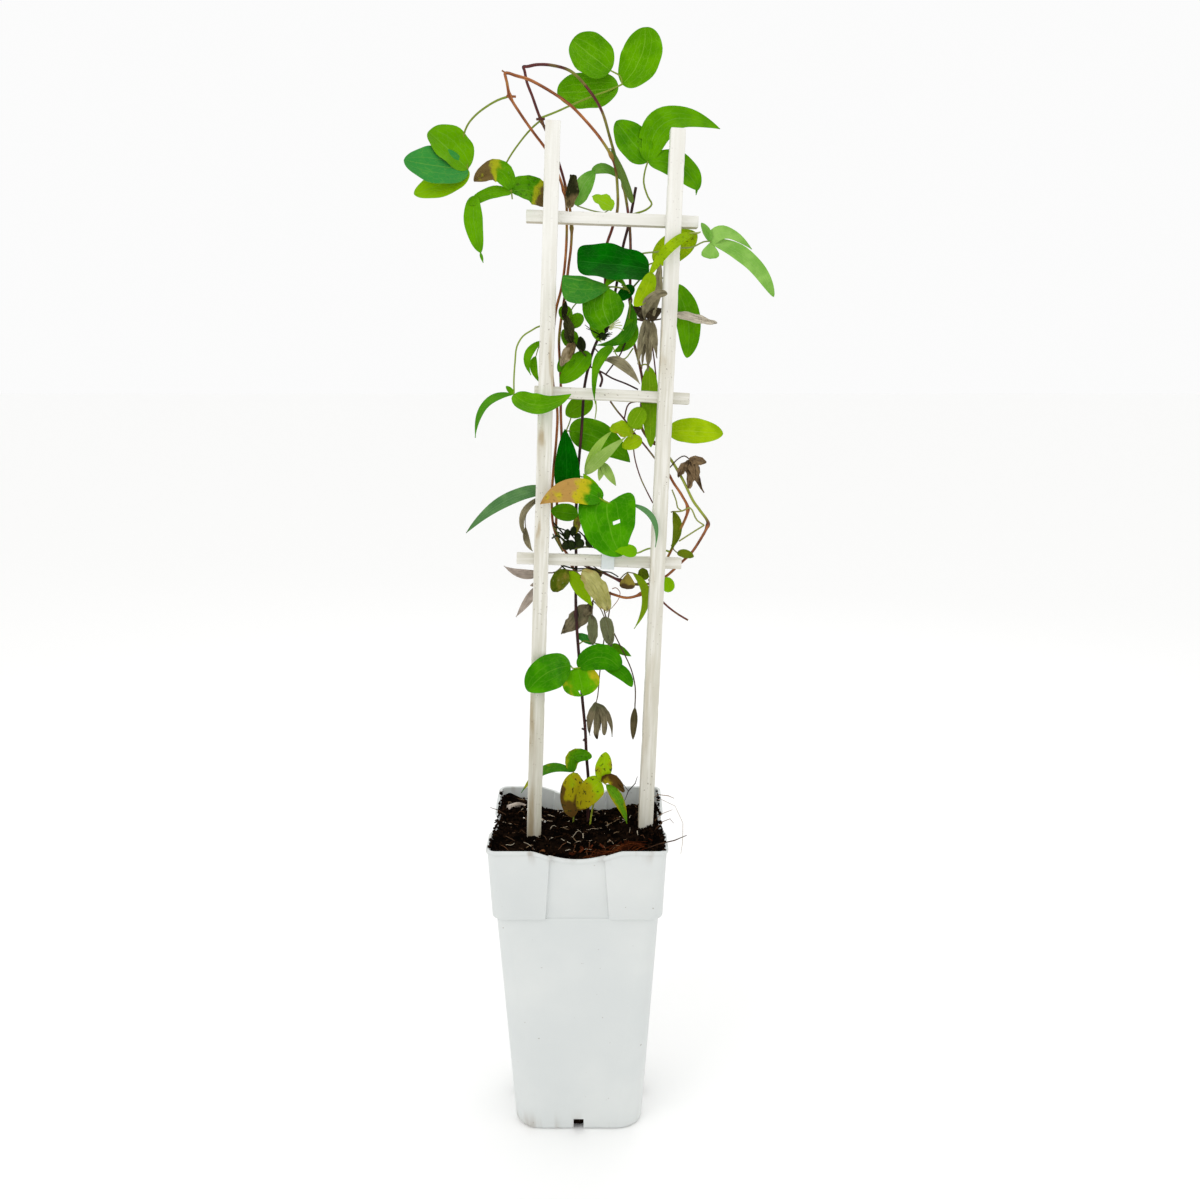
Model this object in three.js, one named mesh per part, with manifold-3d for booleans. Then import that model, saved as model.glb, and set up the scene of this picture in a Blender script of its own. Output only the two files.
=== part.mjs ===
// A clematis in a tall square nursery pot, climbing a small white lath trellis.
// Millimetres, +Z up. The origin is the middle of the pot's underside.
// The pot stands square to the axes. The trellis leans a little back and to the right,
// and the plant is laid out in the trellis's own frame: x across it from its middle line,
// y behind the middle of its uprights, z along them from the soil.
import * as THREE from 'three';
import { mergeVertices } from 'three/addons/utils/BufferGeometryUtils.js';
import Module from 'manifold-3d';

const wasm = await Module();
wasm.setup();

// ---------------------------------------------------------------- driving dimensions

const GAP = 0.3; // clearance between pieces that touch
const degrees = THREE.MathUtils.degToRad;

const POT_HEIGHT = 262;
const POT_WALL = 1.6;
const FLOOR_THICK = 2;
const FOOT_HALF = 54.3; // half width of the body at the ground
const BODY_HALF = 69.7; // half width the body would have at the rim
const COLLAR_HEIGHT = 60; // stacking collar below the rim
const COLLAR_LOW_HALF = 69.2;
const COLLAR_TOP_HALF = 71.9;
const LIP_PROUD = 1.2;
const LIP_HEIGHT = 2.6;
const LIP_ROOT = 0.8; // height of the slope under the lip
const LIP_OVER_PANEL = 0.3; // the lip's extra overhang in front of a panel
const FOOT_CORNER = 22; // corner radius in plan, at the ground and at the rim
const RIM_CORNER = 7;
const FOOT_ROUND = 3; // round under the pot's edge
const PANEL_LOW_HALF = 25.5; // flat panel in the middle of each side of the collar
const PANEL_TOP_HALF = 21.5;
const COLUMN_FOOT_HALF = 14; // where the panel's edge lines would reach the ground
const PANEL_EDGE = 0.8; // half width of the step from the collar down to the panel
const PANEL_BRIM = 13; // how far past the panel's edge the rim still curves
const RIM_DIP = 7.8; // the rim dips in the middle of each side
const RIM_DIP_HALF = 36; // half the dip's width
const RIM_DIP_EASE = 1.25; // how gently the dip leaves the level rim
const SLOT_WIDTH = 8.5; // drain slot at the middle of each foot edge
const SLOT_HEIGHT = 10.5;
const SLOT_DEPTH = 14;
const SLOT_SPARE = 5; // how far the cutter reaches past the pot

const SOIL_TOP = 252.5;

const LATTICE_FOOT = [9.9, -15, 254];
const LATTICE_LEAN = [-4.6, 2.3, 4.0]; // degrees about x, y and z
const STILE_WIDE = 12.2;
const STILE_DEEP = 10;
const STILE_ABOVE = 572;
const STILE_IN_SOIL = 110;
const LATH_BEVEL = 0.7;
const RUNG_HIGH = 9.6;
const RUNG_DEEP = 9;
const RUNG_Y = STILE_DEEP / 2 + GAP + RUNG_DEEP / 2;
const CLIP_WALL = 1.4;
const CLIP_WIDE = 10.6;
const CLIP_X = 6; // how far right of the trellis's middle line it sits
const CLIP_TAB_WIDE = 7.6;
const CLIP_TAB_HIGH = 6;

const BLADE_THICK = 0.8;
const BLADE_END = 0.9; // width left at a blade's base and tip
const FEWEST_STRIPS = 0.8; // a blade is divided along its length by its width
const MOST_STRIPS = 6;
const STRIP_LONG = 8;
const TWIST_FROM = 0.3; // share of a blade's length where its twist starts from nothing
const RIPPLES = 14; // turn of the edge's ripple over a blade's length, in radians
const EASE = 0.24; // how far a joined piece's surface may be eased to spare facets

// ---------------------------------------------------------------- materials

const plastic = (color, roughness) => new THREE.MeshStandardMaterial({ color, roughness, metalness: 0 });

const COLOURS = {
  pot_plastic: ['#dfe2e1', 0.45],
  peat: ['#1d1410', 0.98],
  painted_wood: ['#e9e7df', 0.7],
  clip_plastic: ['#e4ebef', 0.35],
  bark_dark: ['#2a1414', 0.65],
  stem_red: ['#6a3a2c', 0.6],
  stalk_green: ['#8a9a4a', 0.6],
  leaf_bright: ['#4fa31a', 0.4],
  leaf_light: ['#63a92a', 0.45],
  leaf_mid: ['#3f8f22', 0.45],
  leaf_dark: ['#155f1f', 0.4],
  leaf_blue: ['#3c7a5e', 0.5],
  leaf_grey: ['#5f9a50', 0.55],
  leaf_pale: ['#8fb878', 0.55],
  leaf_lime: ['#9fc23a', 0.45],
  leaf_olive: ['#5d7029', 0.6],
  dried_grey: ['#86806f', 0.85],
  dried_pink: ['#b5a297', 0.85],
  dried_brown: ['#6b5546', 0.9],
  dried_dark: ['#3b3a26', 0.85],
  dried_beige: ['#b7b071', 0.8],
  bud_black: ['#1e2a16', 0.6],
  petal_cream: ['#cfd3a0', 0.6],
};

const material = (slot) => plastic(...COLOURS[slot]);

// ---------------------------------------------------------------- solids

// A closed geometry becomes a solid that can be joined and cut.
function toSolid(geometry) {
  const bare = geometry.clone();
  bare.deleteAttribute('normal');
  bare.deleteAttribute('uv');
  const merged = mergeVertices(bare, 1e-4);
  return new wasm.Manifold(new wasm.Mesh({
    numProp: 3,
    vertProperties: new Float32Array(merged.attributes.position.array),
    triVerts: new Uint32Array(merged.index.array),
  }));
}

function toGeometry(solid) {
  const mesh = solid.getMesh();
  const geometry = new THREE.BufferGeometry();
  geometry.setAttribute('position', new THREE.BufferAttribute(mesh.vertProperties, 3));
  geometry.setIndex(new THREE.BufferAttribute(mesh.triVerts, 1));
  return geometry;
}

const join = (solids) => solids.reduce((sum, solid) => sum.add(solid));

// The largest of the bodies that a cut leaves; loose scraps are dropped.
function largest(solid) {
  const bodies = solid.decompose();
  return bodies.reduce((best, body) => (body.volume() > best.volume() ? body : best));
}

function addMesh(parent, name, geometry, slot) {
  const mesh = new THREE.Mesh(geometry, material(slot));
  mesh.name = name;
  parent.add(mesh);
  return mesh;
}

// A closed skin over a stack of rings with equal numbers of points, capped at both ends
// by a fan from each end ring's own middle.
function skin(rings) {
  const count = rings[0].length;
  const middle = (ring) => ring.reduce((sum, p) => sum.add(p), new THREE.Vector3()).divideScalar(count);
  const points = [...rings.flat(), middle(rings[0]), middle(rings[rings.length - 1])];
  const first = points.length - 2;
  const last = points.length - 1;
  const index = [];
  for (let row = 0; row < rings.length - 1; row += 1) {
    for (let k = 0; k < count; k += 1) {
      const a = row * count + k;
      const b = row * count + ((k + 1) % count);
      index.push(a, b, b + count, a, b + count, a + count);
    }
  }
  const top = (rings.length - 1) * count;
  for (let k = 0; k < count; k += 1) {
    index.push(first, (k + 1) % count, k);
    index.push(last, top + k, top + ((k + 1) % count));
  }
  const geometry = new THREE.BufferGeometry().setFromPoints(points);
  geometry.setIndex(index);
  return geometry;
}

const boxAt = (wide, deep, high, x, y, z) => new THREE.BoxGeometry(wide, deep, high).translate(x, y, z);

// ---------------------------------------------------------------- pot

const COLLAR_LOW = POT_HEIGHT - COLLAR_HEIGHT;
const mix = THREE.MathUtils.lerp;
const bodyHalf = (z) => mix(FOOT_HALF, BODY_HALF, z / POT_HEIGHT);
const collarHalf = (z) => mix(COLLAR_LOW_HALF, COLLAR_TOP_HALF, (z - COLLAR_LOW) / COLLAR_HEIGHT);
// Below the collar the panel's columns only narrow, to stay clear of the foot's round corners.
const panelHalf = (z) => (z > COLLAR_LOW
  ? mix(PANEL_LOW_HALF, PANEL_TOP_HALF, (z - COLLAR_LOW) / COLLAR_HEIGHT)
  : mix(COLUMN_FOOT_HALF, PANEL_LOW_HALF, z / COLLAR_LOW));
const cornerRadius = (z) => mix(FOOT_CORNER, RIM_CORNER, z / POT_HEIGHT);

// How far the rim lies below its corners, u millimetres from the middle of a side.
function rimDip(u) {
  return RIM_DIP * Math.max(0, 1 - (u / RIM_DIP_HALF) ** 2) ** RIM_DIP_EASE;
}

// One ring round the pot's wall, `inset` inside its outer face. The collar stands proud
// except on the panels. A height may change along a side: dropping lowers it at the rim's dips.
function wallRing(z, inset, { collar = false, dropping = false } = {}) {
  const edge = panelHalf(z) + inset;
  const across = [
    [edge + PANEL_BRIM, true], [edge + PANEL_EDGE, true], [edge - PANEL_EDGE, false],
  ];
  const stations = [
    ...across.map(([u, proud]) => [-u, proud]), [0, false],
    ...across.map(([u, proud]) => [u, proud]).reverse(),
  ];
  const proudHalf = (collar ? collarHalf(z) : bodyHalf(z)) - inset;
  const panelFace = bodyHalf(z) + (inset < 0 ? LIP_OVER_PANEL : 0) - inset;
  const radius = Math.max(2, cornerRadius(z) - inset);
  const ring = [];
  for (let side = 0; side < 4; side += 1) {
    const turn = (side * Math.PI) / 2;
    const put = (u, out, high) => {
      const point = new THREE.Vector3(u, -out, high);
      ring.push(point.applyAxisAngle(new THREE.Vector3(0, 0, 1), turn));
    };
    for (const [u, proud] of stations) {
      put(u, proud ? proudHalf : panelFace, dropping ? z - rimDip(u) : z);
    }
    const centre = proudHalf - radius;
    for (let step = 0; step <= 3; step += 1) {
      const angle = (step / 3) * (Math.PI / 2);
      put(centre + radius * Math.sin(angle), centre + radius * Math.cos(angle), z);
    }
  }
  return ring;
}

function makePot() {
  const collar = { collar: true };
  const rim = { collar: true, dropping: true };
  const rings = [
    wallRing(0, FOOT_ROUND),
    wallRing(FOOT_ROUND, 0),
    wallRing(COLLAR_LOW - 1, 0),
    wallRing(COLLAR_LOW, 0, collar),
    wallRing(POT_HEIGHT - LIP_HEIGHT - LIP_ROOT, 0, rim),
    wallRing(POT_HEIGHT - LIP_HEIGHT, -LIP_PROUD, rim),
    wallRing(POT_HEIGHT, -LIP_PROUD, rim),
    wallRing(POT_HEIGHT, POT_WALL, rim),
    wallRing(COLLAR_LOW + POT_WALL, POT_WALL, collar),
    wallRing(COLLAR_LOW + POT_WALL - 1, POT_WALL),
    wallRing(FOOT_ROUND + POT_WALL, POT_WALL),
    wallRing(FLOOR_THICK, FOOT_ROUND + POT_WALL),
  ];
  let pot = toSolid(skin(rings));
  for (let side = 0; side < 4; side += 1) {
    const slot = boxAt(SLOT_WIDTH, SLOT_DEPTH + SLOT_SPARE, SLOT_HEIGHT + SLOT_SPARE,
      0, -FOOT_HALF + (SLOT_DEPTH - SLOT_SPARE) / 2, (SLOT_HEIGHT - SLOT_SPARE) / 2);
    slot.rotateZ((side * Math.PI) / 2);
    pot = pot.subtract(toSolid(slot));
  }
  return toGeometry(pot);
}

// ---------------------------------------------------------------- trellis

// A planed lath with bevelled edges, its length along z, standing on z = 0.
function lath(wide, deep, long) {
  const x = wide / 2;
  const y = deep / 2;
  const c = LATH_BEVEL;
  const outline = new THREE.Shape([
    [-x + c, -y], [x - c, -y], [x, -y + c], [x, y - c], [x - c, y], [-x + c, y], [-x, y - c], [-x, -y + c],
  ].map(([px, py]) => new THREE.Vector2(px, py)));
  return new THREE.ExtrudeGeometry(outline, { depth: long, bevelEnabled: false, steps: 1 });
}

// foot and top: where the upright's middle line crosses the soil and where it ends.
const STILES = [
  { name: 'stile_left', foot: -47.3, top: -51.3 },
  { name: 'stile_right', foot: 46.5, top: 46.7 },
];

// left and right: the rung's ends; tilt in degrees.
const RUNGS = [
  { name: 'rung_top', z: 502.5, left: -70, right: 67.6, tilt: -1.1 },
  { name: 'rung_middle', z: 364.5, left: -59, right: 67.4, tilt: 0.2 },
  { name: 'rung_low', z: 229.4, left: -69, right: 67.4, tilt: -0.1 },
];
const LOW_RUNG = RUNGS[2];

function makeStile({ foot, top }) {
  const slope = Math.atan2(top - foot, STILE_ABOVE);
  return lath(STILE_WIDE, STILE_DEEP, STILE_ABOVE + STILE_IN_SOIL)
    .translate(0, 0, -STILE_IN_SOIL)
    .rotateY(slope)
    .translate(foot, 0, 0);
}

function makeRung({ z, left, right, tilt }) {
  const long = right - left;
  return lath(RUNG_HIGH, RUNG_DEEP, long)
    .translate(0, 0, -long / 2)
    .rotateY(Math.PI / 2 + degrees(tilt))
    .translate((left + right) / 2, RUNG_Y, z);
}

// A bent plastic clip pushed over the low rung, open at the back below.
function makeClip() {
  const inY = RUNG_DEEP / 2 + GAP;
  const inZ = RUNG_HIGH / 2 + GAP;
  const block = toSolid(boxAt(CLIP_WIDE, 2 * (inY + CLIP_WALL), 2 * (inZ + CLIP_WALL), 0, 0, 0));
  const bore = toSolid(boxAt(CLIP_WIDE + 2, 2 * inY, 2 * inZ, 0, 0, 0));
  const mouth = toSolid(boxAt(CLIP_WIDE + 2, CLIP_WALL * 4, inZ, 0, inY + CLIP_WALL, -inZ / 2));
  const tab = toSolid(boxAt(CLIP_TAB_WIDE, CLIP_WALL, CLIP_TAB_HIGH,
    0, -inY - CLIP_WALL / 2, inZ + CLIP_WALL + 0.4 * CLIP_TAB_HIGH));
  const clip = block.subtract(bore).subtract(mouth).add(tab);
  return toGeometry(clip).translate(CLIP_X, RUNG_Y, LOW_RUNG.z);
}

const lattice = new THREE.Group();
lattice.position.set(...LATTICE_FOOT);
lattice.rotation.set(...LATTICE_LEAN.map(degrees));
lattice.updateMatrixWorld(true);

for (const stile of STILES) {
  addMesh(lattice, stile.name, makeStile(stile), 'painted_wood');
}
for (const rung of RUNGS) {
  addMesh(lattice, rung.name, makeRung(rung), 'painted_wood');
}
addMesh(lattice, 'rung_clip', makeClip(), 'clip_plastic');

// ---------------------------------------------------------------- stalks and blades

const STRETCH = 18; // longest straight stretch of a stem
const SIDE_STEPS = [1.35, 2.5]; // a stem has three sides, and one more past each thickness
const STEM_ROOM = 2.6 * GAP; // what a stem's clearance adds to its thickness, corners included
const vector = (p) => new THREE.Vector3(...p);

// A smooth curve that is divided at its own points, so that stems which share one meet there.
class Route extends THREE.CatmullRomCurve3 {
  getPointAt(u, target) {
    return this.getPoint(u, target);
  }

  getTangentAt(u, target) {
    return this.getTangent(u, target);
  }
}

// A round stem or leaf stalk along a smooth curve. Thin ones have fewer sides.
function tube(thick, route) {
  const curve = new Route(route.map(vector), false, 'centripetal');
  const sides = 3 + SIDE_STEPS.filter((step) => thick > step).length;
  const outline = new THREE.Shape();
  for (let k = 0; k < sides; k += 1) {
    const angle = (2 * Math.PI * k) / sides;
    const [x, y] = [(thick / 2) * Math.cos(angle), (thick / 2) * Math.sin(angle)];
    if (k === 0) outline.moveTo(x, y);
    else outline.lineTo(x, y);
  }
  const spans = route.length - 1;
  const steps = spans * Math.ceil(curve.getLength() / spans / STRETCH);
  return new THREE.ExtrudeGeometry(outline, { steps, extrudePath: curve, bevelEnabled: false });
}

const stalk = (thick, route) => ({ stem: tube(thick, route), room: tube(thick + STEM_ROOM, route) });

// Outlines: half width along the blade goes as t^rise * (1 - t)^fall; lobe swings the
// base corners back past the stalk.
const OVAL = { rise: 0.5, fall: 0.6, lobe: 0 };
const ROUND = { rise: 0.45, fall: 0.45, lobe: 0 };
const OVATE = { rise: 0.45, fall: 0.85, lobe: 0 };
const LANCE = { rise: 0.75, fall: 1.1, lobe: 0 };
const HEART = { rise: 0.3, fall: 0.7, lobe: 0.4 };
const SWEPT = { rise: 0.25, fall: 0.8, lobe: 0 };
const BROAD = { rise: 0.4, fall: 0.3, lobe: 0 };
const SQUARE = { rise: 0.3, fall: 0.22, lobe: 0 };
const LATE = { rise: 0.6, fall: 0.35, lobe: 0 };
const TAILED = { rise: 0.6, fall: 1.3, lobe: 0 };
const FAN = { rise: 1.2, fall: 0.35, lobe: 0 };

function halfWidth(form, t) {
  const { rise, fall } = form;
  const peak = (rise / (rise + fall)) ** rise * (fall / (rise + fall)) ** fall;
  return (t ** rise * (1 - t) ** fall) / peak;
}

// A thin closed blade. Its midrib is a curve from base to tip through mid; face is the side
// that its upper face looks to; fold lifts both halves off the midrib, twist turns it along
// its length, wave ripples its edges.
function blade(form, base, tip, wide, options) {
  const { mid, face = [0, -1, 0.2], fold = 8, twist = 0, wave = 0, lean = 0 } = options;
  const [from, to] = [vector(base), vector(tip)];
  const centre = from.clone().add(to).multiplyScalar(0.5);
  const pull = mid ? vector(mid).multiplyScalar(2).sub(centre) : centre;
  const rib = new THREE.QuadraticBezierCurve3(from, pull, to);
  const strips = Math.round(Math.min(MOST_STRIPS, FEWEST_STRIPS + wide / STRIP_LONG));
  const lift = degrees(fold);
  const points = [];
  for (let row = 0; row <= strips; row += 1) {
    const t = (1 - Math.cos((Math.PI * row) / strips)) / 2;
    const middle = rib.getPoint(t);
    const along = rib.getTangent(t);
    const right = along.clone().cross(vector(face)).normalize();
    const up = right.clone().cross(along);
    const turn = degrees(twist) * (t - TWIST_FROM);
    right.applyAxisAngle(along, turn);
    up.applyAxisAngle(along, turn);
    const share = halfWidth(form, t);
    const half = Math.max(BLADE_END / 2, (wide / 2) * share);
    const back = form.lobe * wide * share * (1 - t) ** 3;
    const upper = [];
    const lower = [];
    for (const side of [-1, 0, 1]) {
      const ripple = side * side * wave * Math.sin(RIPPLES * t + 1.3 * side);
      const reach = side * half * (1 + side * lean);
      const point = middle.clone()
        .addScaledVector(right, reach * Math.cos(lift))
        .addScaledVector(up, Math.abs(reach) * Math.sin(lift) + ripple)
        .addScaledVector(along, -Math.abs(side) * back);
      const inward = side === 0
        ? up.clone().divideScalar(Math.cos(lift))
        : up.clone().multiplyScalar(Math.cos(lift)).addScaledVector(right, -side * Math.sin(lift));
      upper.push(point);
      lower.push(point.clone().addScaledVector(inward, -BLADE_THICK));
    }
    points.push(...upper, ...lower);
  }
  const geometry = new THREE.BufferGeometry().setFromPoints(points);
  geometry.setIndex(bladeFaces(strips));
  return { stem: geometry };
}

// Both faces of a blade are split along the same diagonals.
function bladeFaces(strips) {
  const at = (row, column, lower) => row * 6 + (lower ? 3 : 0) + column;
  const faces = [];
  const quad = (a, b, c, d) => faces.push(a, b, c, a, c, d);
  for (let row = 0; row < strips; row += 1) {
    for (const column of [0, 1]) {
      quad(at(row, column), at(row, column + 1), at(row + 1, column + 1), at(row + 1, column));
      faces.push(at(row, column, 1), at(row + 1, column + 1, 1), at(row, column + 1, 1));
      faces.push(at(row, column, 1), at(row + 1, column, 1), at(row + 1, column + 1, 1));
    }
    quad(at(row, 2), at(row, 2, 1), at(row + 1, 2, 1), at(row + 1, 2));
    quad(at(row, 0), at(row + 1, 0), at(row + 1, 0, 1), at(row, 0, 1));
  }
  for (const column of [0, 1]) {
    quad(at(0, column), at(0, column, 1), at(0, column + 1, 1), at(0, column + 1));
    quad(at(strips, column), at(strips, column + 1), at(strips, column + 1, 1), at(strips, column, 1));
  }
  return faces;
}

// A body turned about the line from base to tip: radius and share of the length, ends on the axis.
function turned(profile, sides, base, tip) {
  const [from, to] = [vector(base), vector(tip)];
  const long = from.distanceTo(to);
  const outline = profile.map(([radius, share]) => new THREE.Vector2(radius, share * long));
  const stem = new THREE.LatheGeometry(outline, sides);
  const upright = new THREE.Vector3(0, 1, 0);
  const turn = new THREE.Quaternion().setFromUnitVectors(upright, to.clone().sub(from).normalize());
  stem.applyQuaternion(turn);
  stem.translate(...base);
  return { stem };
}

const spike = (thick, base, tip) => turned([[0, 0], [thick / 2, 0.02], [0, 1]], 3, base, tip);

function ball(centre, wide, high) {
  const [x, y, z] = centre;
  const profile = [[0, 0], [wide * 0.36, 0.15], [wide / 2, 0.5], [wide * 0.36, 0.85], [0, 1]];
  return turned(profile, 6, [x, y, z - high / 2], [x, y, z + high / 2]);
}

// ---------------------------------------------------------------- the plant

// What later pieces have to keep clear of: the stems already placed, with their clearance.
let taken = null;

// Joins a piece's stalks and blades, cuts it clear of the stems it sits against and adds it.
function addPiece(name, slot, shapes) {
  let piece = join(shapes.map(({ stem }) => toSolid(stem)));
  if (taken) piece = piece.subtract(taken);
  piece = largest(piece.simplify(EASE));
  addMesh(lattice, name, toGeometry(piece), slot);
}

// Stems that stand in the soil leave plain holes in it.
const rooted = [];

function addRooted(name, slot, shapes) {
  addPiece(name, slot, shapes);
  rooted.push(...shapes.filter((shape) => shape.room));
}

// A stem that leaves are carried by: later pieces stop short of it.
function addStem(name, slot, shapes) {
  addRooted(name, slot, shapes);
  const room = join(shapes.map((shape) => toSolid(shape.room)));
  taken = taken ? taken.add(room) : room;
}

addStem('stem_main', 'bark_dark', [
  stalk(2.3, [
    [-9.5, 16, 407.5], [-7, 16, 412], [-0.5, 16, 420], [3, 16, 441], [6.5, 18.5, 465], [9, 21, 483.5],
    [12.5, 25, 498.5], [15, 26, 511.5], [17.5, 21, 531],
  ]),
  stalk(1.4, [
    [-15, 18, 387.5], [-4.5, 15, 383], [4, 14.5, 378.5], [16, 15.5, 374.5], [26, 17.5, 370.5],
  ]),
  stalk(1.2, [
    [-1, 15, 381.5], [3.5, 13.5, 388], [9.5, 12.5, 397], [13.5, 13, 407],
  ]),
  stalk(2.0, [
    [-7, 15.5, 384], [-4, 14.5, 377.5], [-5.5, 14, 371],
  ]),
  stalk(2.7, [
    [0.5, 27, -9.5], [-0.5, 27, 9.5], [-1, 26.5, 22], [-1.5, 26, 39], [-4, 24, 60.5], [-6, 22, 83],
    [-10, 20, 113], [-14, 19, 147.5], [-16.5, 18.5, 169.5], [-18.5, 18, 195], [-19, 18, 216],
    [-20, 18, 241], [-21, 18, 271.5], [-21, 18, 294], [-20, 18, 315.5], [-19, 18, 335],
    [-18.5, 18, 359.5], [-18, 18, 370.5], [-15, 18, 388.5], [-11.5, 17, 402], [-8.5, 16, 409.5],
  ]),
]);

addStem('stem_over_left', 'stem_red', [
  stalk(1.6, [
    [42, 17.5, 214.5], [45, 16, 208], [49, 11.5, 203], [54.5, 8.5, 196], [64.5, 4, 188.5],
    [74.5, 2, 183],
  ]),
  stalk(2.3, [
    [-7, 18, 413], [-5, 19, 426.5], [-4, 19, 441], [-4.5, 19, 460.5], [-5, 19, 481], [-0.5, 18.5, 497],
    [3, 18.5, 510.5], [2.5, 17, 527], [-1.5, 14, 547.5], [-12, 9, 562], [-25.5, 3, 574.5],
    [-38.5, -3, 584], [-50.5, -9, 589.5], [-62.5, -14, 594], [-71.5, -18, 596.5], [-81.5, -22, 597.5],
    [-86.5, -24.5, 598], [-89, -25, 597.5], [-88.5, -24.5, 595], [-87.5, -23, 592], [-85, -18, 583.5],
    [-77, -11, 573.5], [-66.5, -2.5, 562.5], [-56.5, 8, 553.5], [-50, 12.5, 544.5], [-43, 15.5, 530.5],
    [-38.5, 17.5, 517], [-37, 18, 495.5], [-37, 18, 478.5], [-38, 17, 461], [-40, 16, 446.5],
    [-43.5, 14.5, 430.5], [-45, 14.5, 410.5], [-45.5, 15.5, 391], [-43.5, 18, 371], [-39.5, 18, 350.5],
    [-39.5, 17.5, 326.5], [-41, 17, 302], [-41.5, 17, 277.5], [-39.5, 17.5, 257], [-33.5, 18.5, 242],
    [-26, 22, 231.5], [-20, 22.5, 219], [-8.5, 19.5, 210], [1.5, 17, 205], [14, 16, 200.5],
    [24.5, 15.5, 198.5], [35.5, 15.5, 202], [44, 16, 210], [51, 17.5, 221], [59, 17, 238],
    [65, 8, 257], [70, 4, 275], [65, 6, 285.5], [58, 9, 295.5], [52.5, 12, 304.5], [45, 15, 312],
  ]),
]);

addStem('stem_over_right', 'stem_red', [
  stalk(1.5, [
    [3.5, 16.5, 360], [9.5, 17, 352.5], [15.5, 16.5, 346], [23.5, 16.5, 336], [33.5, 14, 325],
    [43.5, 11.5, 313],
  ]),
  stalk(1.3, [
    [29, 20, 361.5], [19, 18, 358.5], [15.5, 16.5, 346],
  ]),
  stalk(1.2, [
    [17.5, 17, 427.5], [25, 17, 426], [32.5, 17, 424], [35.5, 17, 409], [39, 17.5, 390],
    [40.5, 18, 375], [36.5, 19, 364], [30, 20, 360],
  ]),
  stalk(1.1, [
    [23.5, 16.5, 336], [25, 15, 317], [30.5, 13, 299.5], [36.5, 11, 287.5], [41.5, 9, 278.5],
  ]),
  stalk(2.3, [
    [-16.5, 21, 226.5], [-7.5, 20, 222], [1.5, 18, 219.5], [18, 18.5, 212.5], [33, 19.5, 209.5],
    [43.5, 20.5, 210.5], [56, 20.5, 216.5], [68.5, 18.5, 229], [76, 13, 238], [81.5, 5, 249.5],
    [85.5, -1, 260], [86.5, -1, 264.5], [79.5, 1, 274.5], [74, 2, 281.5], [65, 6, 298.5],
    [55, 11, 314.5], [46, 16, 324.5], [36, 19, 331.5], [30, 20, 342], [29.5, 20, 358],
    [30.5, 19.5, 371], [27, 18, 388.5], [18.5, 17, 417], [16.5, 17, 441.5], [15.5, 18, 465.5],
    [15, 19, 484.5], [14, 20.5, 498], [12, 21, 511], [7.5, 20.5, 531], [2, 19, 546.5], [-5, 14, 564.5],
    [-13.5, 7, 584.5], [-26, -1, 598.5], [-39, -6, 608], [-53.5, -9, 610.5], [-65, -10, 610],
    [-72.5, -10.5, 608], [-75.5, -10.5, 607.5], [-74.5, -10, 605], [-72.5, -8, 597.5],
    [-68, -4, 588.5], [-62, 1, 575.5], [-54, 10.5, 563], [-47.5, 17.5, 551], [-41, 20.5, 534.5],
    [-35.5, 22, 514.5], [-33, 21.5, 496.5], [-33, 21.5, 481], [-34.5, 21, 465], [-36, 20, 447.5],
    [-38.5, 19, 427.5], [-40, 19.5, 407.5], [-38.5, 20.5, 387.5], [-37, 21.5, 367.5],
    [-36.5, 22, 350.5], [-35, 21.5, 326], [-35.5, 21, 302.5], [-37, 21, 273.5], [-37, 22, 252.5],
  ]),
]);

addPiece('leaf_top', 'leaf_light', [
  stalk(1.6, [
    [-60.5, 1.5, 574.5], [-49, 5, 580.5], [-37.5, 8, 587], [-19.5, 10.5, 596], [-7, 12, 601.5],
    [2.5, 12.5, 606.5],
  ]),
  stalk(1.4, [
    [2.5, 12.5, 606.5], [0.5, 12.5, 612.5], [-7, 12, 616],
  ]),
  blade(ROUND, [2.5, 12.5, 606.5], [18, 7, 648.5], 31.5, { mid: [16, 10, 626.5], fold: 8 }),
  blade(ROUND, [-7, 12, 616], [-38.5, 8, 635.5], 34.5, { fold: 6 }),
  blade(ROUND, [-0.5, 12.5, 605], [-48.5, 17, 599], 31, { mid: [-24, 17, 601], fold: 7 }),
]);

addPiece('leaf_upper_left', 'leaf_mid', [
  stalk(1.6, [
    [-85, -18, 583.5], [-94, -18, 580], [-103, -17.5, 574.5], [-111, -15, 568.5], [-117, -12, 561.5],
    [-120, -9.5, 551.5], [-118, -10, 540], [-115.5, -13, 529.5],
  ]),
  blade(ROUND, [-115.5, -13, 529.5], [-145.5, -18, 554.5], 30.5, {
    face: [0.1, -1, 0.5], fold: 10, lean: 0.28,
  }),
  blade(OVAL, [-115.5, -13, 529.5], [-163, -26, 530.5], 31, {
    mid: [-139, -22, 528.5], face: [0, -1, 0.3], fold: 6,
  }),
  blade(OVAL, [-115.5, -13, 529.5], [-156, -15, 508.5], 21.5, { mid: [-133.5, -16, 517.5], fold: 10 }),
]);

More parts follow.
